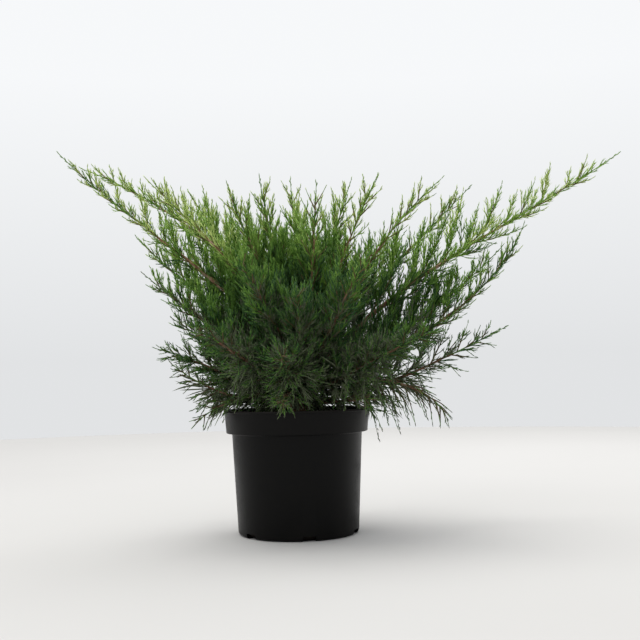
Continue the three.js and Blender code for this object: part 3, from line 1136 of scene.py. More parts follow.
@dataclass(frozen=True)
class Lightness:
    """How light a green the foliage takes, by its height, how far out it stands, and chance: painted light on
    the high and outer foliage and painted shade low down and round the middle; the gold limbs are a real
    lighter green, and chance gives a real random tone.

    Attributes:
        dark_below: the height up to which it is darkest.
        rise: how far above that it is lightest.
        by_height: the share that height has.
        height_power: how late it lightens on the way up.
        by_reach: the share that standing far out has.
        low_reach: how much of that share there is low down.
        gold: how much lighter the yellow limbs are.
        by_chance: the share that chance has.
        core: how much painted shade darkens it round the middle.
        core_x: where the dark middle is, from left to right.
        core_reach: how wide it is.
        core_rise: how far up it goes.
        core_floor: the light that the dark middle doesn't take.
    """

    dark_below: float = 0.24
    rise: float = 0.40
    by_height: float = 0.66
    height_power: float = 1.3
    by_reach: float = 0.28
    low_reach: float = 0.3
    gold: float = 0.12
    by_chance: float = 0.3
    core: float = 0.24
    core_x: float = 0.02
    core_reach: float = 0.11
    core_rise: float = 1.25
    core_floor: float = 0.15

    CHANCE = Draw(-0.5, 1.0, 300)

    def on(self, stems: Stems, places: Array) -> Array:
        """The light of each stem, whose foliage has its middle at a place.

        Args:
            stems: the stems.
            places: those middles, as stem by 3.

        Returns:
            A number for each stem, from dark to light.
        """
        height = np.clip((places[:, 2] - self.dark_below) / self.rise, 0, 1)
        across = np.exp(-(((places[:, 0] - self.core_x) / self.core_reach) ** 2))
        core = across * np.clip(self.core_rise - height * self.core_rise, 0, 1)
        light = self.by_height * height**self.height_power
        light = light + self.by_reach * stems.outward * lerp(self.low_reach, 1, height)
        light = light + stems.each(lambda limb: self.gold if "gold" in limb.name else 0.0)
        light = light + self.by_chance * self.CHANCE.of(stems.seed)
        return np.maximum(light - self.core * core, np.minimum(light, self.core_floor))


class CordKind(IntEnum):
    """The forms of leafy cord."""

    LINED = 0
    FORKED = 1
    BRANCHED = 2
    BARE = 3


@dataclass(frozen=True)
class Cords(Rows):
    """Leafy cords, which are the last twigs.

    Attributes:
        foot: where each starts.
        along: the direction that it points in.
        outward: the direction from its stem to its outer side.
        length: how long it is.
        width: its width for a form of width 1.
        kind: its form.
        light: how light a green it takes.
    """

    foot: Array
    along: Array
    outward: Array
    length: Array
    width: Array
    kind: Array
    light: Array


@dataclass(frozen=True)
class CordRule:
    """How leafy cords stand on one kind of stem, closer to it and shorter towards the tip.

    Attributes:
        longest: the longest cord.
        slim: how far from the tip a stem is only lined with short cords; low stems have longer tails.
        step: how far apart they stand along a stem.
    """

    longest: float
    slim: float
    step: float = 0.0062

    SEED_SHIFT = 11.3
    FIRST_PLACE = 0.2
    PLACE = Draw(0.0, 0.6)
    PRESENCE = Draw(0.0, 1.0, 280)
    LEAST_PRESENCE = 0.25
    TURN = Draw(0.0, 1.2, 40)

    # The long slim tails of low stems
    TAIL = Draw(0.0, 1.0, 30)
    TAILS_BELOW = 0.34
    TAILS_FADE = 0.1
    TAIL_REACH = 0.035
    DROOP_REACH = 0.03

    # How cords open and lengthen with the distance from where the stem stops being slim
    OPEN_REACH = 0.035
    NARROW = 9
    WIDE = 17
    OPENING = Draw(0.8, 0.4, 80)
    LUCK = Draw(0.7, 0.5, 120)
    SHORTEST = 0.0065
    FIRST_LENGTH = 0.008
    LENGTH_SLOPE = 0.55
    RISE = 0.22

    # How low cords hang, and are bare
    HANG_BELOW = 0.37
    HANG_FADE = 0.12
    HANG = -0.45
    BARENESS = Draw(0.45, 0.5, 200)
    STRETCH = Draw(1.25, 0.5, 240)

    # Where a stem's lightness is taken, how that changes along it, and how thick the cords are
    LIT_AT = 0.7
    TIP_LIGHT = 0.10
    LEAST_WIDTH = 0.0125
    WIDTH_SLOPE = 0.22
    OUTER_WIDTH = 0.88
    LINED_BELOW = 0.014
    FORM = Draw(0.0, 1.0, 160)
    BRANCHED_SHARE = 0.5

    def grow(self, stems: Stems, first: Any, room: Room, lightness: Lightness) -> Cords:
        """The cords on some stems.

        Args:
            stems: the stems that they stand on.
            first: where along each stem its lowest cord stands.
            room: where they may end.
            lightness: how light they are.

        Returns:
            The cords.
        """
        length = stems.lengths()[:, None]
        first = np.broadcast_to(first, len(stems))[:, None]
        count = int(np.ceil((length * (1 - first)).max() / self.step))
        index = np.arange(count)[None, :]
        seed = stems.seed[:, None] + self.SEED_SHIFT
        back = (index + self.FIRST_PLACE + self.PLACE.of(seed, index)) * self.step
        t = 1 - back / length
        fullness = stems.each(lambda limb: limb.fullness)[:, None]
        present = (t > first) & (self.PRESENCE.of(seed, index) < lerp(self.LEAST_PRESENCE, 1, fullness))
        t = np.clip(t, 0, 1)
        foot, along = stems.points(t), stems.slopes(t)
        side, top = stems.across(along)
        turn = GOLDEN_ANGLE * index + self.TURN.of(seed, index)
        radial = side * np.cos(turn)[..., None] + top * np.sin(turn)[..., None]

        droops = stems.each(lambda limb: limb.habit.droops)[:, None]
        hanging = stems.each(lambda limb: limb.habit is DROOP)[:, None]
        tip_height = stems.points(stems.steps(1, 1, 1))[..., 2]
        tail = below(tip_height, self.TAILS_BELOW, self.TAILS_FADE) * droops
        slim = self.slim + (self.TAIL_REACH + self.DROOP_REACH * hanging) * tail * self.TAIL.of(seed)
        near = np.clip((back - slim) / self.OPEN_REACH, 0, 1)
        luck = self.LUCK.of(seed, index)
        size = (self.FIRST_LENGTH + self.LENGTH_SLOPE * np.maximum(back - slim, 0)) * luck
        size = np.clip(size, self.SHORTEST, self.longest * luck)
        hang = below(foot[..., 2], self.HANG_BELOW, self.HANG_FADE) * near * droops
        bare = hang > self.BARENESS.of(seed, index)
        size = np.where(bare, size * self.STRETCH.of(seed, index), size)

        opening = np.radians(lerp(self.NARROW, self.WIDE, near) * self.OPENING.of(seed, index))
        direction = along * np.cos(opening)[..., None] + radial * np.sin(opening)[..., None]
        direction = unit(direction + UP * lerp(self.RISE * near, self.HANG, hang)[..., None])
        middles = stems.points(stems.steps(self.LIT_AT, self.LIT_AT, 1))[:, 0]
        light = lightness.on(stems, middles)[:, None] + self.TIP_LIGHT * (t - 0.5)
        width = self.LEAST_WIDTH + self.WIDTH_SLOPE * size
        width = width * lerp(1, self.OUTER_WIDTH, stems.outward[:, None] ** 2)
        branched = self.FORM.of(seed, index) < self.BRANCHED_SHARE
        leafy = np.where(branched, CordKind.BRANCHED, CordKind.FORKED)
        kind = np.where(bare, CordKind.BARE, np.where(size < self.LINED_BELOW, CordKind.LINED, leafy))
        tips = foot + direction * size[..., None]
        keep = present & room.allows(tips)
        limb = np.broadcast_to(stems.limb[:, None], keep.shape)
        return Cords(limb, foot, direction, radial, size, width, kind, light).where(keep)


class Shrub:
    """All the stems of the juniper, grown from its trunk by the rule."""

    SHOOTS = Offshoots(31)
    SIDE_TWIGS = Offshoots(12, last=0.76, angle=math.radians(25), bend=0.6)
    LOW_TWIGS = BasalTwigs(
        (SKIRT, DROOP, TUFT),
        Offshoots(36, last=0.6, angle=math.radians(58), bend=0.9),
        lift=-0.85,
        least=0.0,
    )
    INNER_TWIGS = BasalTwigs(
        (WING, LASH, FAN, UPRIGHT, FLANK, ARM, SKIRT),
        Offshoots(36, last=0.62, angle=math.radians(58), bend=0.9),
        lift=0.25,
        least=0.65,
    )
    SIDE_LUCK = Draw(0.0, 1.0, 200)
    SIDE_FIRST = 0.08
    SIDE_FADE = 0.7
    SIDE_SPREAD = 1.0
    FULL_SHOOT = 0.15
    BOUGH_RADIUS = 0.0025
    LENGTH_PER_RADIUS = 230
    TIP_SHARE = 0.3
    TAPER = 0.7

    def __init__(self, room: Room) -> None:
        """Grows the stems within a room.

        Args:
            room: where the foliage may be.
        """
        self.room = room
        self.lightness = Lightness()
        self.trunk = self.trunk_line()
        self.limbs = self.limb_lines()
        each = self.limbs.each
        self.bare = each(lambda limb: limb.habit.bare)
        self.whip = each(lambda limb: limb.habit.whip)
        self.root_radius = self.BOUGH_RADIUS + self.limbs.lengths() / self.LENGTH_PER_RADIUS
        shoots = self.SHOOTS.grow(
            self.limbs,
            first=self.bare,
            reach=each(lambda limb: limb.habit.reach),
            fade=each(lambda limb: limb.habit.fade),
            lift=each(lambda limb: limb.habit.lift),
            spread=each(lambda limb: limb.habit.spread),
        )
        self.shoots = shoots.where(room.clears(shoots, bowl=False))
        self.inner = self.INNER_TWIGS.grow(self.limbs, room)
        self.twigs = self.side_twigs().joined(self.LOW_TWIGS.grow(self.limbs, room))

    @staticmethod
    def trunk_line() -> Stems:
        """The line that the trunk follows, from inside the soil to its fork.

        Returns:
            One stem, a curve with three control points.
        """
        foot = np.array([*TRUNK_FOOT, SOIL_TOP - TRUNK_SINK])
        top = np.array([*np.add(TRUNK_FOOT, TRUNK_LEAN), SOIL_TOP + TRUNK_HEIGHT])
        knee = (foot + top) / 2
        knee[0] = foot[0] + TRUNK_LEAN[0] * TRUNK_KNEE
        nil = np.zeros(1)
        return Stems(nil.astype(int), np.stack([foot, knee, top])[None], nil, nil)

    def limb_lines(self) -> Stems:
        """The lines that the limbs follow, from inside the trunk to the tips of their foliage.

        Returns:
            A stem for each limb, in their order.
        """
        count = len(LIMBS)
        root = limb_values(lambda limb: limb.root) / 1000
        start = self.trunk.points(((root + TRUNK_SINK) / (TRUNK_HEIGHT + TRUNK_SINK))[None])[0]
        tip = heading(limb_values(lambda limb: limb.azimuth), np.zeros(count))
        tip = tip * limb_values(lambda limb: limb.reach)[:, None] / 1000
        tip[:, 2] = limb_values(lambda limb: limb.height) / 1000
        out = tip - start
        away = np.degrees(np.arctan2(out[:, 1], out[:, 0]))
        pull = np.linalg.norm(out, axis=1, keepdims=True) / 3
        first = start + heading(away, limb_values(lambda limb: limb.leave)) * pull
        second = tip - heading(away, limb_values(lambda limb: limb.arrive)) * pull
        control = np.stack([start, first, second, tip], axis=1)
        return Stems(np.arange(count), control, np.arange(count) + 1.0, np.zeros(count))

    def side_twigs(self) -> Stems:
        """The side twigs of the shoots.

        Returns:
            The twigs that chance leaves and that keep within the room.
        """
        length = self.shoots.lengths()
        reach = length * self.shoots.each(lambda limb: limb.habit.side_reach)
        lift = self.shoots.each(lambda limb: limb.habit.twig_lift)
        sizes = (self.SIDE_FIRST, reach, self.SIDE_FADE, lift, self.SIDE_SPREAD)
        twigs = self.SIDE_TWIGS.grow(self.shoots, *sizes)
        fullness = self.shoots.each(lambda limb: limb.habit.fullness * limb.fullness)
        count = self.SIDE_TWIGS.count
        wanted = np.repeat(length * fullness, count) / self.FULL_SHOOT
        lucky = self.SIDE_LUCK.of(twigs.seed, np.tile(np.arange(count), len(self.shoots))) < wanted
        return twigs.where(lucky & self.room.clears(twigs))

    def wood_radius(self, share: Array) -> Array:
        """How thick each limb's wood is at shares of its length."""
        return self.root_radius[:, None] * lerp(1, self.TIP_SHARE, share**self.TAPER)

    def cords(self) -> Cords:
        """Every leafy cord: on the side twigs, the inner twigs, the shoots and the limbs' leaders.

        Returns:
            The cords, in that order.
        """
        jobs = (
            (CordRule(0.031, 0.006), self.twigs, 0.08),
            (CordRule(0.034, 0.004, step=0.0092), self.inner, 0.08),
            (CordRule(0.032, 0.012), self.shoots, 0.06),
            (CordRule(0.034, 0.03), self.limbs, limb_values(lambda limb: limb.habit.first_cord)),
        )
        grown = (rule.grow(stems, start, self.room, self.lightness) for rule, stems, start in jobs)
        first, *others = grown
        return first.joined(*others)


# Sub-assemblies


@dataclass
class Pot:
    """The round black pot: a turned shell with a lip, a deep collar, a rounded foot and drain slots.

    Attributes:
        sides: points round it.
        corner_points: points on each rounded corner of its profile.
        drains: how many drain slots there are.
        drain_width: how wide each is.
        drain_height: how high.
        drain_depth: how far in and out from the wall's foot each is cut.
        first_drain: the turn of the first, in degrees.
        drain_rounding: the radius of its two top corners.
        drain_steps: the edges on each of those.
        sharp: the angle from which an edge of the wall looks sharp.
    """

    sides: int = 144
    corner_points: int = 7
    drains: int = 6
    drain_width: float = 0.023
    drain_height: float = 0.009
    drain_depth: float = 0.015
    first_drain: float = -79.0
    drain_rounding: float = 0.002
    drain_steps: int = 4
    sharp: float = math.radians(40)

    def shell(self) -> bpy.types.Mesh:
        """The turned shell before its slots are cut.

        Returns:
            The mesh.
        """
        foot = POT_HEIGHT - COLLAR_HEIGHT
        top = RIM_RADIUS - LIP_PROUD
        # Radius, height and rounding of each corner
        corners = [
            (0, 0, 0),
            (BODY_FOOT_RADIUS, 0, 0.007),
            (BODY_TOP_RADIUS, foot, 0.003),
            (COLLAR_FOOT_RADIUS, foot, 0.0014),
            (top, POT_HEIGHT - LIP_HEIGHT, 0.0006),
            (RIM_RADIUS, POT_HEIGHT - LIP_HEIGHT, 0.0008),
            (RIM_RADIUS, POT_HEIGHT, 0.0012),
            (top - WALL, POT_HEIGHT, 0.0009),
            (COLLAR_FOOT_RADIUS - WALL, foot + WALL, 0.0015),
            (BODY_TOP_RADIUS - WALL, foot + WALL, 0.0015),
            (BODY_FOOT_RADIUS - WALL, WALL, 0.006),
            (0, WALL, 0),
        ]
        return turned("pot", rounded(corners, self.corner_points), self.sides)

    def cutters(self) -> bpy.types.Mesh:
        """The drain slots as blocks that are rounded at the top.

        Returns:
            One mesh, with a closed block for each slot.
        """
        points, faces = [], []
        half, high, corner = self.drain_width / 2, self.drain_height, self.drain_rounding
        outline = [(-half, -high), (half, -high)]
        for centre, start in ((half - corner, 0), (-half + corner, 90)):
            for step in range(self.drain_steps + 1):
                a = math.radians(start + step * 90 / self.drain_steps)
                outline.append((centre + corner * math.cos(a), high - corner + corner * math.sin(a)))
        size = len(outline)
        for i in range(self.drains):
            turn = math.radians(self.first_drain + 360 * i / self.drains)
            out = np.array([math.cos(turn), math.sin(turn), 0])
            along = np.array([-math.sin(turn), math.cos(turn), 0])
            base = len(points)
            for reach in (BODY_FOOT_RADIUS - self.drain_depth, BODY_FOOT_RADIUS + self.drain_depth):
                points.extend(out * reach + along * x + UP * z for x, z in outline)
            faces.append([base + k for k in reversed(range(size))])
            faces.append([base + size + k for k in range(size)])
            faces.extend([base + k for k in face] for face in ring_faces(2, size))
        return mesh_from("drain_cutters", np.array(points), faces)

    def build(self) -> bpy.types.Object:
        """Makes the pot and cuts its slots.

        Returns:
            The pot's one piece.
        """
        obj = show("pot_shell", self.shell(), BLACK_PLASTIC.build())
        cutter = bpy.data.objects.new("drain_cutters", self.cutters())
        bpy.context.scene.collection.objects.link(cutter)
        cut = obj.modifiers.new("drains", "BOOLEAN")
        cut.object = cutter
        cut.operation = "DIFFERENCE"
        cut.solver = "EXACT"
        graph = bpy.context.evaluated_depsgraph_get()
        mesh = bpy.data.meshes.new_from_object(obj.evaluated_get(graph), depsgraph=graph)
        obj.modifiers.clear()
        obj.data = mesh
        bpy.data.objects.remove(cutter)
        mesh.set_sharp_from_angle(angle=self.sharp)
        return place(obj, "black_plastic", ["pot"])


@dataclass
class Soil:
    """The potting mix: an uneven bed with loose crumbs on it.

    Attributes:
        sides: points round the bed.
        rings: rings on its top.
        play: how far it stays off the pot's wall where that doesn't show.
        foot_inset: how far its flat foot stays off the wall.
        foot_height: where it meets the wall.
        flat_radius: where its top is flat.
        relief: how high its lumps are.
        lump_margin: how far above the edge of its top lumps begin.
        crumb_margin: how far below that edge crumbs may lie.
        crumbs: how many crumbs a square metre has.
        smallest: the radius of the smallest crumb.
        largest: the radius of the largest.
        least_shape: how far the slimmest crumb reaches each way, for a radius of 1.
        most_shape: how far the fullest one does.
        spot_seed: the seed of where crumbs lie and of their size.
        turn_seed: the seed of how they are turned.
        shape_seed: the seed of their shapes.
    """

    sides: int = 96
    rings: int = 34
    play: float = 0.0005
    foot_inset: float = 0.008
    foot_height: float = 0.009
    flat_radius: float = 0.042
    relief: float = 0.0034
    lump_margin: float = 0.0002
    crumb_margin: float = 0.001
    crumbs: float = 52000.0
    smallest: float = 0.0007
    largest: float = 0.0026
    least_shape: tuple[float, float, float] = (0.7, 0.45, 0.4)
    most_shape: tuple[float, float, float] = (1.5, 1.0, 0.8)
    spot_seed: int = 3
    turn_seed: int = 7
    shape_seed: int = 9

    FULL_TURN = (6.28, 6.28, 6.28)

    def bed_mesh(self) -> bpy.types.Mesh:
        """The filling as a closed body, with fine rings on its top.

        Returns:
            The mesh.
        """
        foot = POT_HEIGHT - COLLAR_HEIGHT
        edge = SOIL_TOP - SOIL_DISH
        slope = (edge - foot) / COLLAR_HEIGHT
        edge_radius = lerp(COLLAR_FOOT_RADIUS, RIM_RADIUS - LIP_PROUD, slope) - WALL - SOIL_CLEARANCE
        floor, shelf = WALL + SOIL_CLEARANCE, foot + WALL + self.play
        lower = [
            (0, floor),
            (BODY_FOOT_RADIUS - WALL - self.foot_inset, floor),
            (BODY_FOOT_RADIUS - WALL - self.play, self.foot_height),
            (BODY_TOP_RADIUS - WALL - self.play, foot),
            (BODY_TOP_RADIUS - WALL - self.play, shelf),
            (COLLAR_FOOT_RADIUS - WALL - self.play, shelf),
        ]
        radii = np.linspace(1, 0, self.rings) * edge_radius
        rise = np.clip((edge_radius - radii) / (edge_radius - self.flat_radius), 0, 1)
        heights = edge + SOIL_DISH * np.sin(rise * math.pi / 2)
        top = np.stack([radii, heights], axis=1)
        return turned("soil_bed", np.vstack([lower, top]), self.sides)

    @staticmethod
    def top_of(r: Recipe, drop: float) -> Term:
        """Picks what is higher than the bed's edge less a drop.

        Args:
            r: the recipe that asks.
            drop: how far below the edge the limit is.

        Returns:
            True where a point is higher.
        """
        position = r.node("GeometryNodeInputPosition")
        height = r.node("ShaderNodeSeparateXYZ", {}, {"Vector": position}, out="Z")
        values = {0: height, 1: SOIL_TOP - SOIL_DISH - drop}
        return r.node("FunctionNodeCompare", {"operation": "GREATER_THAN"}, values)

    def bed(self) -> bpy.types.Object:
        """The filling, with lumps on its top.

        Returns:
            The bed, not yet placed.
        """
        r = Recipe("lumpy soil", {"Relief": "Float", "Material": "Material"})
        position = r.node("GeometryNodeInputPosition")
        lumps = r.noise(position, scale=70.0, detail=4.0, roughness=0.62) - 0.5
        rise = r.node("ShaderNodeCombineXYZ", {}, {"Z": lumps * r.given("Relief")})
        picked = self.top_of(r, drop=-self.lump_margin)
        values = {"Geometry": r.given("Geometry"), "Selection": picked, "Offset": rise}
        r.finish(r.node("GeometryNodeSetPosition", {}, values))
        return r.grow("soil_bed", self.bed_mesh(), Relief=self.relief, Material=POTTING_SOIL.build())

    def loose(self, bed: bpy.types.Object) -> bpy.types.Object:
        """Crumbs scattered over the top of the bed.

        Args:
            bed: the bed with its lumps.

        Returns:
            The crumbs, not yet placed.
        """
        floats = dict.fromkeys(("Density", "Smallest", "Largest"), "Float")
        r = Recipe("soil crumbs", {**floats, "Seed": "Int", "Material": "Material"})
        seed = r.given("Seed")
        values = {
            "Mesh": r.given("Geometry"),
            "Selection": self.top_of(r, drop=self.crumb_margin),
            "Density": r.given("Density"),
            "Seed": seed,
        }
        spots = r.node("GeometryNodeDistributePointsOnFaces", {}, values, out="Points")
        ball = r.node("GeometryNodeMeshIcoSphere", {}, {"Radius": 1.0, "Subdivisions": 1}, out="Mesh")
        bounds = {"Min": r.given("Smallest"), "Max": r.given("Largest"), "Seed": seed}
        size = r.node("FunctionNodeRandomValue", {}, bounds, out="Value")
        turns = {"Min": (0.0, 0.0, 0.0), "Max": self.FULL_TURN, "Seed": self.turn_seed}
        spin = r.node("FunctionNodeRandomValue", {"data_type": "FLOAT_VECTOR"}, turns, out="Value")
        shape = {"Min": self.least_shape, "Max": self.most_shape, "Seed": self.shape_seed}
        form = r.node("FunctionNodeRandomValue", {"data_type": "FLOAT_VECTOR"}, shape, out="Value")
        values = {"Points": spots, "Instance": ball, "Rotation": spin, "Scale": r.scaled(form, size)}
        r.finish(r.node("GeometryNodeInstanceOnPoints", {}, values))
        made = {"Density": self.crumbs, "Smallest": self.smallest, "Largest": self.largest}
        made |= {"Seed": self.spot_seed, "Material": POTTING_SOIL.build()}
        return r.grow("soil_crumbs", bed.data.copy(), **made)

    def build(self) -> list[bpy.types.Object]:
        """Makes the bed and its crumbs.

        Returns:
            The two pieces.
        """
        bed = self.bed()
        crumbs = self.loose(bed)
        return [place(obj, "potting_soil", ["soil"]) for obj in (bed, crumbs)]


@dataclass(frozen=True)
class StemLook:
    """How one kind of thin stem is drawn.

    Attributes:
        name: the piece's name, without its side.
        start: where along the stem it starts.
        end: where it ends.
        steps: the points along it.
        thick: its radius at the start.
        thin: its radius at the end.
        sides: the points round it.
        finish: what it is dressed in.
        slot: the record's material slot.
    """

    name: str
    start: float
    end: float
    steps: int
    thick: float
    thin: float
    sides: int
    finish: Bark | Needles
    slot: str


# Where along a limb its bark ends, and how thick it is from there on
BARK_END = 0.72
LEADER_RADIUS = 0.0013

# Thin stems: where they start and end, steps, radii, sides, finish and slot
GREEN = NEEDLE_TONES[Tone.MID]
BROWN_TWIGS = StemLook("twigs_brown", 0.0, 0.6, 5, 0.0013, 0.0008, 4, TWIG_BARK, "bark")
GREEN_TWIGS = StemLook("twigs_green", 0.58, 1.0, 4, 0.00085, 0.0004, 3, GREEN, "foliage")
SIDE_TWIGS = StemLook("side_twigs", 0.0, 1.0, 3, 0.0008, 0.0004, 3, GREEN, "foliage")
LEADERS = StemLook("leaders", BARK_END - 0.01, 0.995, 24, LEADER_RADIUS, 0.0005, 5, GREEN, "foliage")


@dataclass
class Wood:
    """The trunk and everything woody that grows on it, with fibrous bark in relief.

    Attributes:
        shrub: the stems that it follows.
        trunk_radius: the trunk's radius at its foot.
        trunk_top_radius: the trunk's radius at its fork.
        trunk_sides: points round the trunk.
        trunk_rings: rings of points along it.
        trunk_first: where along its line the first ring is.
        flare_radius: how far the trunk flares where it enters the soil.
        flare_height: how fast the flare ends.
        flare_lobes: how many lobes the flare has.
        lobe_depth: how deep they are, as a share of the radius.
        knot_depth: how deep its knots are, as a share of the radius.
        knot_waves: how many knots there are round it.
        knot_twist: how much they wind round it for each metre up.
        knot_pitch: how close they are along it.
        dome_start: where along the trunk its rounded top starts.
        dome_length: how long that is.
        dome_least: the square of the radius that is left at its very top.
        grain_turns: how fine the bark's grain is round the trunk.
        grain_run: how fine it is along every stem, for each metre.
        trunk_relief: how deep the trunk's bark is, as a share of its thickness.
        limb_relief: how deep the limbs' bark is.
        limb_sides: points round a limb.
        limb_steps: points along it.
        limb_taper: how late a limb's thin end thins.
        whip_radius: the radius of the thickest limb without a bough.
        foot_swell: how much thicker limbs are at their foot.
        swell_length: how fast that ends.
        straight_foot: the length over which limbs grow crooked.
        crooks: the waves that make them so: pitch for each metre, shift for each limb, and size.
        top_crook: how much of that there is up and down.
    """

    shrub: Shrub
    trunk_radius: float = 0.015
    trunk_top_radius: float = 0.0105
    trunk_sides: int = 48
    trunk_rings: int = 72
    trunk_first: float = 0.035
    flare_radius: float = 0.009
    flare_height: float = 0.011
    flare_lobes: int = 4
    lobe_depth: float = 0.28
    knot_depth: float = 0.07
    knot_waves: int = 3
    knot_twist: float = 95.0
    knot_pitch: float = 140.0
    dome_start: float = 0.94
    dome_length: float = 0.061
    dome_least: float = 0.02
    grain_turns: float = 2.6
    grain_run: float = 22.0
    trunk_relief: float = 0.55
    limb_relief: float = 0.5
    limb_sides: int = 9
    limb_steps: int = 72
    limb_taper: float = 1.25
    whip_radius: float = 0.0032
    foot_swell: float = 0.45
    swell_length: float = 0.016
    straight_foot: float = 0.05
    crooks: tuple[tuple[float, float, float], ...] = ((61.0, 2.1, 0.0011), (143.0, 1.0, 0.0005))
    top_crook: float = 0.6

    def __post_init__(self) -> None:
        """Builds the two recipes."""
        self.relief = self.relief_recipe()
        self.along = self.strand_recipe()

    @staticmethod
    def pushed(r: Recipe, geometry: Term) -> Term:
        """Geometry pushed in and out along its normals by noise that runs along its grain.

        Args:
            r: the recipe that asks.
            geometry: what is pushed.

        Returns:
            The geometry after that.
        """
        fibres = r.noise(r.stored("grain", "FLOAT_VECTOR"), scale=3.2, detail=4.0, roughness=0.6) - 0.5
        depth = fibres * r.given("Relief") * r.stored("thickness")
        offset = r.scaled(r.node("GeometryNodeInputNormal"), depth)
        return r.node("GeometryNodeSetPosition", {}, {"Geometry": geometry, "Offset": offset})

    def relief_recipe(self) -> Recipe:
        """Bark relief on a mesh that has grain and thickness stored.

        Returns:
            The recipe.
        """
        r = Recipe("bark relief", {"Relief": "Float", "Material": "Material"})
        r.finish(self.pushed(r, r.given("Geometry")))
        return r

    def strand_recipe(self) -> Recipe:
        """Round stems along strands, with bark relief.

        Returns:
            The recipe, for edges with the attribute thickness.
        """
        r = Recipe("stems along strands", {"Sides": "Int", "Relief": "Float", "Material": "Material"})
        lines = r.node("GeometryNodeMeshToCurve", {}, {"Mesh": r.given("Geometry")})
        lines = r.store(lines, "run", r.node("GeometryNodeSplineParameter", out="Length"))
        ring = r.node("GeometryNodeCurvePrimitiveCircle", {}, {"Resolution": r.given("Sides"), "Radius": 1.0})
        ring = r.store(ring, "turn", r.node("GeometryNodeSplineParameter", out="Factor") * (2 * math.pi))
        values = {"Curve": lines, "Profile Curve": ring, "Scale": r.stored("thickness"), "Fill Caps": True}
        tubes = r.node("GeometryNodeCurveToMesh", {}, values)
        turn, run = r.stored("turn"), r.stored("run")
        parts = {"X": r.math("COSINE", turn), "Y": r.math("SINE", turn), "Z": run * self.grain_run}
        tubes = r.store(tubes, "grain", r.node("ShaderNodeCombineXYZ", {}, parts), "FLOAT_VECTOR")
        r.finish(r.node("GeometryNodeSetShadeSmooth", {}, {"Geometry": self.pushed(r, tubes)}))
        return r

    def trunk(self) -> bpy.types.Object:
        """The short leaning trunk, flared and lobed where it enters the soil.

        Returns:
            The trunk's one piece.
        """
        sides, rings = self.trunk_sides, self.trunk_rings
        t = np.linspace(self.trunk_first, 1, rings)
        centre = self.shrub.trunk.points(t[None])[0]
        along = self.shrub.trunk.slopes(t[None])[0]
        across = unit(np.array([1.0, 0, 0]) - along * along[:, :1])
        third = np.cross(along, across)
        angle = np.arange(sides) * 2 * math.pi / sides
        run = t * (TRUNK_HEIGHT + TRUNK_SINK)
        height = np.maximum(run - TRUNK_SINK, 0)[:, None]
        flare = np.exp(-height / self.flare_height)
        lobes = 1 + self.lobe_depth * flare * np.cos(self.flare_lobes * angle)
        round_it = np.sin(self.knot_waves * angle + height * self.knot_twist)
        knots = 1 + self.knot_depth * round_it * np.sin(height * self.knot_pitch + 1)
        radius = lerp(self.trunk_radius, self.trunk_top_radius, t[:, None]) * lobes * knots
        radius = radius + self.flare_radius * flare
        dome = ((t - self.dome_start) / self.dome_length).clip(0)
        radius = radius * np.sqrt(np.clip(1 - dome**2, self.dome_least, 1))[:, None]
        cosine, sine = np.cos(angle), np.sin(angle)
        around = across[:, None] * cosine[None, :, None] + third[:, None] * sine[None, :, None]
        points = (centre[:, None] + around * radius[..., None]).reshape(-1, 3)
        faces: list[Sequence[int]] = list(ring_faces(rings, sides))
        faces.append(list(reversed(range(sides))))
        faces.append([(rings - 1) * sides + k for k in range(sides)])
        mesh = mesh_from("trunk_bark", points, faces)
        ring = self.grain_turns * np.array([cosine, sine])
        rise = np.repeat(run * self.grain_run, sides)
        add_attribute(mesh, "grain", np.stack([*np.tile(ring, rings), rise], axis=1))
        add_attribute(mesh, "thickness", radius.ravel())
        inputs = {"Relief": self.trunk_relief, "Material": BARK.build()}
        obj = self.relief.grow("trunk_bark", mesh, keep=["grain"], **inputs)
        return place(obj, "bark", ["trunk"])

    def limb_radius(self, t: Array, run: Array) -> Array:
        """How thick the limbs are.

        Args:
            t: parameters, as limb by step.
            run: how far along the limb each is, in metres.

        Returns:
            The radius at each.
        """
        shrub = self.shrub
        bare, whip = shrub.bare[:, None], shrub.whip[:, None]
        beyond = np.clip((t - bare) / (BARK_END - bare), 0, 1) ** self.limb_taper
        thinning = lerp(shrub.wood_radius(bare), LEADER_RADIUS, beyond)
        radius = np.where(t < bare, shrub.wood_radius(t), thinning)
        whip_foot = np.minimum(shrub.root_radius[:, None], self.whip_radius)
        radius = np.where(whip, lerp(whip_foot, LEADER_RADIUS, t), radius)
        return radius * (1 + self.foot_swell * np.exp(-run / self.swell_length))

    def limb_wood(self) -> bpy.types.Object:
        """The boughs and the stems that grow on from them, a little crooked.

        Returns:
            One piece for all of them.
        """
        limbs = self.shrub.limbs
        t = limbs.steps(0, BARK_END, self.limb_steps)
        run = t * limbs.lengths()[:, None]
        rank = np.arange(len(limbs))[:, None]
        wave = sum(np.sin(run * pitch + rank * shift) * size for pitch, shift, size in self.crooks)
        side, top = limbs.across(limbs.slopes(t))
        fade = np.clip(run / self.straight_foot, 0, 1)
        points = limbs.points(t) + side * (wave * fade)[..., None]
        points = points + top * (wave[:, ::-1] * fade * self.top_crook)[..., None]
        mesh = strands("limb_bark", points, self.limb_radius(t, run))
        inputs = {"Sides": self.limb_sides, "Relief": self.limb_relief, "Material": BARK.build()}
        obj = self.along.grow("limb_bark", mesh, keep=["grain"], **inputs)
        boughs = [f"bough_{limb.name}" for limb in LIMBS if not limb.habit.whip]
        return place(obj, "bark", [*boughs, *mass_nodes(Side.LEFT), *mass_nodes(Side.RIGHT)])

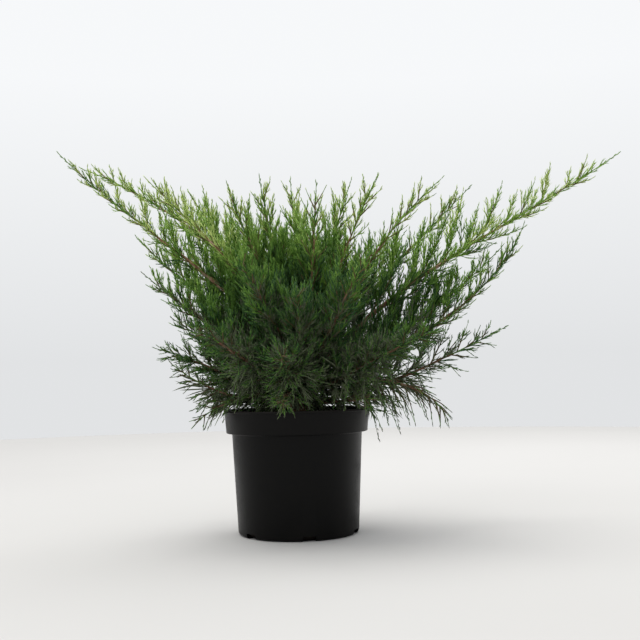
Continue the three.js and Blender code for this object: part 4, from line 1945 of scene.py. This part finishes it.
    def thin_stems(self) -> list[bpy.types.Object]:
        """The thin stems of the shoots, side twigs and leaders: brown at first, then green.

        Returns:
            A piece for each kind on each side.
        """
        shoots, twigs = self.shrub.shoots, self.shrub.twigs.joined(self.shrub.inner)
        dressed = {finish.name: finish.build() for finish in (TWIG_BARK, GREEN)}
        jobs = (
            (BROWN_TWIGS, shoots),
            (GREEN_TWIGS, shoots),
            (SIDE_TWIGS, twigs),
            (LEADERS, self.shrub.limbs),
        )
        made = []
        for side in Side:
            for look, stems in jobs:
                own = stems.on(side)
                radii = np.tile(np.linspace(look.thick, look.thin, look.steps), (len(own), 1))
                mesh = strands(look.name, own.points(own.steps(look.start, look.end, look.steps)), radii)
                inputs = {"Sides": look.sides, "Relief": 0.0, "Material": dressed[look.finish.name]}
                obj = self.along.grow(f"{look.name}_{side.value}", mesh, keep=["grain"], **inputs)
                made.append(place(obj, look.slot, mass_nodes(side)))
        return made

    def build(self) -> list[bpy.types.Object]:
        """Makes every woody piece."""
        return [self.trunk(), self.limb_wood(), *self.thin_stems()]


@dataclass(frozen=True)
class CordForm:
    """One form of cord, of unit length along +Z: a slim bent core with needles that hug it and side cords.

    Attributes:
        kind: which form it is.
        bend: how far its middle bows out along +X.
        phase: where round it the first needle stands.
        rings: how many rings of points its core has before its tip.
        needles: where along it the needles stand.
        forks: where along it the side cords leave.
    """

    kind: CordKind
    bend: float
    phase: float
    rings: int = 2
    needles: tuple[float, ...] = ()
    forks: tuple[float, ...] = ()

    CORE_SIDES = 3
    NEEDLE_HALF_WIDTH = 0.05
    NEEDLE_BACK_OUT = -0.01
    NEEDLE_BACK_UP = 0.11
    NEEDLE_LEAN = 0.36
    FORK_RADIUS = 0.045
    FORK_TURN = 0.7
    FORK_STEP = 0.4

    # Values at the cord's foot and towards its tip
    CORE_RADII = (0.055, 0.048)
    NEEDLE_LENGTHS = (0.3, 0.24)
    FORK_REACH = (0.34, 0.14)
    FORK_RISE = (0.62, 0.17)

    @staticmethod
    def outward(turn: float) -> Array:
        """The direction out of the core at a turn round it."""
        return np.array([math.cos(turn), math.sin(turn), 0])

    def spine(self, z: float) -> Array:
        """The core's middle at a share of its length."""
        return np.array([self.bend * 4 * z * (1 - z), 0.0, z])

    def core(
        self, points: list[Array], faces: list[Face], foot: Array, tip: Array, radii: Array, bow: float
    ) -> None:
        """Adds a three-sided core that ends in a point.

        Args:
            points: the cord's points so far.
            faces: its faces so far.
            foot: where the core starts.
            tip: where it ends.
            radii: the radius of each of its rings.
            bow: how far its middle bows out along +X.
        """
        base, sides = len(points), self.CORE_SIDES
        for j, radius in enumerate(radii):
            share = j / len(radii)
            centre = foot + (tip - foot) * share + np.array([bow * 4 * share * (1 - share), 0, 0])
            turns = (2 * math.pi * k / sides + self.phase for k in range(sides))
            points.extend(centre + self.outward(turn) * radius for turn in turns)
        points.append(tip)
        for a, b, c, d in ring_faces(len(radii), sides):
            faces.extend([(base + a, base + b, base + c), (base + a, base + c, base + d)])
        last = base + (len(radii) - 1) * sides
        faces.extend([(last + k, last + (k + 1) % sides, len(points) - 1) for k in range(sides)])
        faces.append((base, base + 2, base + 1))

    def needle(self, points: list[Array], faces: list[Face], z: float, turn: float) -> None:
        """Adds a slim three-faced needle that leans forward off the core.

        Args:
            points: the cord's points so far.
            faces: its faces so far.
            z: where along the cord it stands.
            turn: where round it.
        """
        out = self.outward(turn)
        side = np.cross(UP, out)
        length = lerp(*self.NEEDLE_LENGTHS, z)
        foot, base = self.spine(z), len(points)
        points.append(foot + side * self.NEEDLE_HALF_WIDTH)
        points.append(foot - side * self.NEEDLE_HALF_WIDTH)
        points.append(foot + out * self.NEEDLE_BACK_OUT + UP * self.NEEDLE_BACK_UP)
        points.append(foot + out * length * self.NEEDLE_LEAN + UP * length)
        faces.extend([(base + 1, base, base + 3), (base, base + 2, base + 3), (base + 2, base + 1, base + 3)])

    def build(self) -> bpy.types.Object:
        """The cord as an object outside the scene.

        Returns:
            The object.
        """
        points: list[Array] = []
        faces: list[Face] = []
        radii = np.linspace(*self.CORE_RADII, self.rings)
        self.core(points, faces, self.spine(0), self.spine(1), radii, self.bend)
        for i, z in enumerate(self.needles):
            self.needle(points, faces, z, self.phase + i * GOLDEN_ANGLE)
        for i, z in enumerate(self.forks):
            turn = self.phase + self.FORK_TURN + i * math.pi + self.FORK_STEP * i
            out = self.outward(turn) * lerp(*self.FORK_REACH, z)
            end = self.spine(z) + out + UP * lerp(*self.FORK_RISE, z)
            self.core(points, faces, self.spine(z), end, np.array([self.FORK_RADIUS]), 0.0)
        name = f"cord_{self.kind.value}"
        return bpy.data.objects.new(name, mesh_from(name, np.array(points), faces))


@dataclass
class Foliage:
    """The leafy cords, dealt to pieces by tone and side.

    Attributes:
        shrub: what they grow on.
        limits: the least light of each tone but the last.
        forms: the forms of cord.
    """

    shrub: Shrub
    limits: tuple[float, ...] = (0.65, 0.44, 0.28, 0.14)
    forms: tuple[CordForm, ...] = (
        CordForm(CordKind.LINED, 0.06, 0.3, needles=(0.1, 0.34, 0.58)),
        CordForm(CordKind.FORKED, 0.13, 1.4, needles=(0.6,), forks=(0.16, 0.4)),
        CordForm(CordKind.BRANCHED, 0.09, 2.6, forks=(0.1, 0.3, 0.52)),
        CordForm(CordKind.BARE, -0.22, 0.9, rings=4),
    )

    def recipe(self) -> Recipe:
        """Cords on points, each turned, sized and picked by what is stored there.

        Returns:
            The recipe.
        """
        r = Recipe("leafy cords", {"Cords": "Collection", "Material": "Material"})
        values = {"Collection": r.given("Cords"), "Separate Children": True, "Reset Children": True}
        kinds = r.node("GeometryNodeCollectionInfo", {"transform_space": "ORIGINAL"}, values)
        axes = {0: r.stored("along", "FLOAT_VECTOR"), 1: r.stored("outward", "FLOAT_VECTOR")}
        turn = r.node("FunctionNodeAxesToRotation", {"primary_axis": "Z", "secondary_axis": "X"}, axes)
        values = {
            "Points": r.given("Geometry"),
            "Instance": kinds,
            "Pick Instance": True,
            "Instance Index": r.stored("kind", "INT"),
            "Rotation": turn,
            "Scale": r.stored("size", "FLOAT_VECTOR"),
        }
        r.finish(r.node("GeometryNodeInstanceOnPoints", {}, values))
        return r

    @staticmethod
    def feet(cords: Cords) -> bpy.types.Mesh:
        """The cords' feet as points that hold what the recipe reads.

        Args:
            cords: the cords.

        Returns:
            A mesh of points alone.
        """
        mesh = bpy.data.meshes.new("feet")
        mesh.vertices.add(len(cords.foot))
        mesh.vertices.foreach_set("co", cords.foot.astype(np.float32).ravel())
        add_attribute(mesh, "along", cords.along)
        add_attribute(mesh, "outward", cords.outward)
        add_attribute(mesh, "size", np.stack([cords.width, cords.width, cords.length], axis=1))
        mesh.attributes.new("kind", "INT", "POINT").data.foreach_set("value", cords.kind.astype(np.int32))
        return mesh

    def build(self) -> list[bpy.types.Object]:
        """Makes a piece for each tone on each side.

        Returns:
            The pieces.
        """
        kinds = bpy.data.collections.new("cords")
        for form in self.forms:
            kinds.objects.link(form.build())
        recipe = self.recipe()
        cords = self.shrub.cords()
        log.info("%d cords", len(cords.foot))
        halves = {side: cords.on(side) for side in Side}
        edges = (math.inf, *self.limits, -math.inf)
        made = []
        for tone, high, low in zip(Tone, edges, edges[1:]):
            material = NEEDLE_TONES[tone].build()
            for side, half in halves.items():
                own = half.where((half.light < high) & (half.light >= low))
                name = f"sprays_{tone.value}_{side.value}"
                obj = recipe.grow(name, self.feet(own), Cords=kinds, Material=material)
                made.append(place(obj, "foliage", mass_nodes(side)))
        for obj in list(kinds.objects):
            bpy.data.objects.remove(obj)
        bpy.data.collections.remove(kinds)
        return made


@dataclass
class Studio:
    """The pale floor, soft lights and the camera at the photograph's angle.

    Attributes:
        camera_place: where the camera is.
        pitch: how far it looks up, in degrees.
        roll: how far it leans, in degrees.
        lens: its focal length on a sensor of that width, in mm.
        sensor: the sensor's width.
        aim: where the lights face.
        floor_radius: the floor's radius.
        floor_sides: points round it.
        ambient: the background's strength as a light.
        horizon: its strength as it looks, low down.
        glow: how much brighter it looks higher up.
    """

    camera_place: tuple[float, float, float] = (0.045, -1.686, 0.2768)
    pitch: float = 3.35
    roll: float = 1.2
    lens: float = 52.9
    sensor: float = 36.0
    aim: tuple[float, float, float] = (0.05, 0.0, 0.42)
    floor_radius: float = 3.2
    floor_sides: int = 96
    ambient: float = 0.5
    horizon: float = 0.78
    glow: float = 0.175

    def floor(self) -> None:
        """A plain pale disc to stand on."""
        angles = np.linspace(0, 2 * math.pi, self.floor_sides, endpoint=False)
        ring = self.floor_radius * np.array([np.cos(angles), np.sin(angles)])
        points = np.stack([*ring, np.zeros(self.floor_sides)], axis=1)
        s = Surface("floor", Roughness=1.0, Specular_IOR_Level=0.0)
        cloud = s.noise(s.place(), 1.3, 2.0)
        s.paint(color=s.blend(cloud, (0.61, 0.605, 0.6), (0.64, 0.635, 0.63)))
        obj = show("floor", mesh_from("floor", points, [range(self.floor_sides)]), s.material)

    def world(self) -> None:
        """An even pale background, dimmer as a light than as it looks."""
        world = bpy.data.worlds.new("studio")
        world.use_nodes = True
        graph = Graph(world.node_tree)
        seen = graph.node("ShaderNodeLightPath", out="Is Camera Ray")
        aim = graph.node("ShaderNodeTexCoord", out="Generated")
        rise = graph.node("ShaderNodeSeparateXYZ", {}, {"Vector": aim}, out="Z")
        looks = graph.ramp(rise, 0.02, 0.3) * self.glow + self.horizon
        strength = self.ambient + seen * (looks - self.ambient)
        background = world.node_tree.nodes["Background"]
        background.inputs["Color"].default_value = (0.97, 0.985, 1.0, 1.0)
        graph.feed(background.inputs["Strength"], strength)
        bpy.context.scene.world = world

    def lamp(self, name: str, kind: str, spot: Sequence[float], tint: Color, **sizes: float) -> None:
        """A soft light that faces the shrub's middle.

        Args:
            name: its name.
            kind: the type of light.
            spot: where it is.
            tint: its colour.
            sizes: the light's own settings by name.
        """
        data = bpy.data.lights.new(name, kind)
        data.color = tint
        for key, value in sizes.items():
            setattr(data, key, value)
        obj = bpy.data.objects.new(name, data)
        obj.location = spot
        way = Vector(self.aim) - Vector(spot)
        obj.rotation_euler = way.to_track_quat("-Z", "Y").to_euler()
        bpy.context.scene.collection.objects.link(obj)

    def camera(self) -> None:
        """The camera."""
        data = bpy.data.cameras.new("camera")
        data.lens, data.sensor_width = self.lens, self.sensor
        data.clip_start, data.clip_end = 0.05, 50.0
        obj = bpy.data.objects.new("camera", data)
        p, r = math.radians(self.pitch), math.radians(self.roll)
        forward = Vector((0, math.cos(p), math.sin(p)))
        up, right = Vector((0, -math.sin(p), math.cos(p))), Vector((1, 0, 0))
        x_axis = right * math.cos(r) - up * math.sin(r)
        y_axis = right * math.sin(r) + up * math.cos(r)
        turn = Matrix((x_axis, y_axis, -forward)).transposed().to_4x4()
        obj.matrix_world = Matrix.Translation(self.camera_place) @ turn
        bpy.context.scene.collection.objects.link(obj)
        bpy.context.scene.camera = obj

    def build(self) -> None:
        """Sets up the studio."""
        self.floor()
        self.world()
        sun = {"energy": 2.1, "angle": math.radians(48)}
        self.lamp("top_light", "SUN", (-0.4, 0.35, 2.4), (1.0, 0.985, 0.95), **sun)
        self.lamp("front_light", "AREA", (-1.6, -1.7, 1.5), (1.0, 0.99, 0.97), energy=12.0, size=1.6)
        self.lamp("back_light", "AREA", (0.9, 1.5, 2.3), (1.0, 1.0, 1.0), energy=20.0, size=1.6)
        self.camera()
        bpy.context.scene.view_settings.view_transform = "Standard"


def main() -> None:
    """Builds the pieces in order and reports each."""
    logging.basicConfig(level=logging.INFO, format="%(message)s")
    shrub = Shrub(Room(np.array(cad_low), np.array(cad_high)))
    log.info("%d shoots, %d side twigs", len(shrub.shoots), len(shrub.twigs))
    Pot().build()
    Soil().build()
    Wood(shrub).build()
    Foliage(shrub).build()
    Studio().build()


if __name__ == "__main__":
    main()
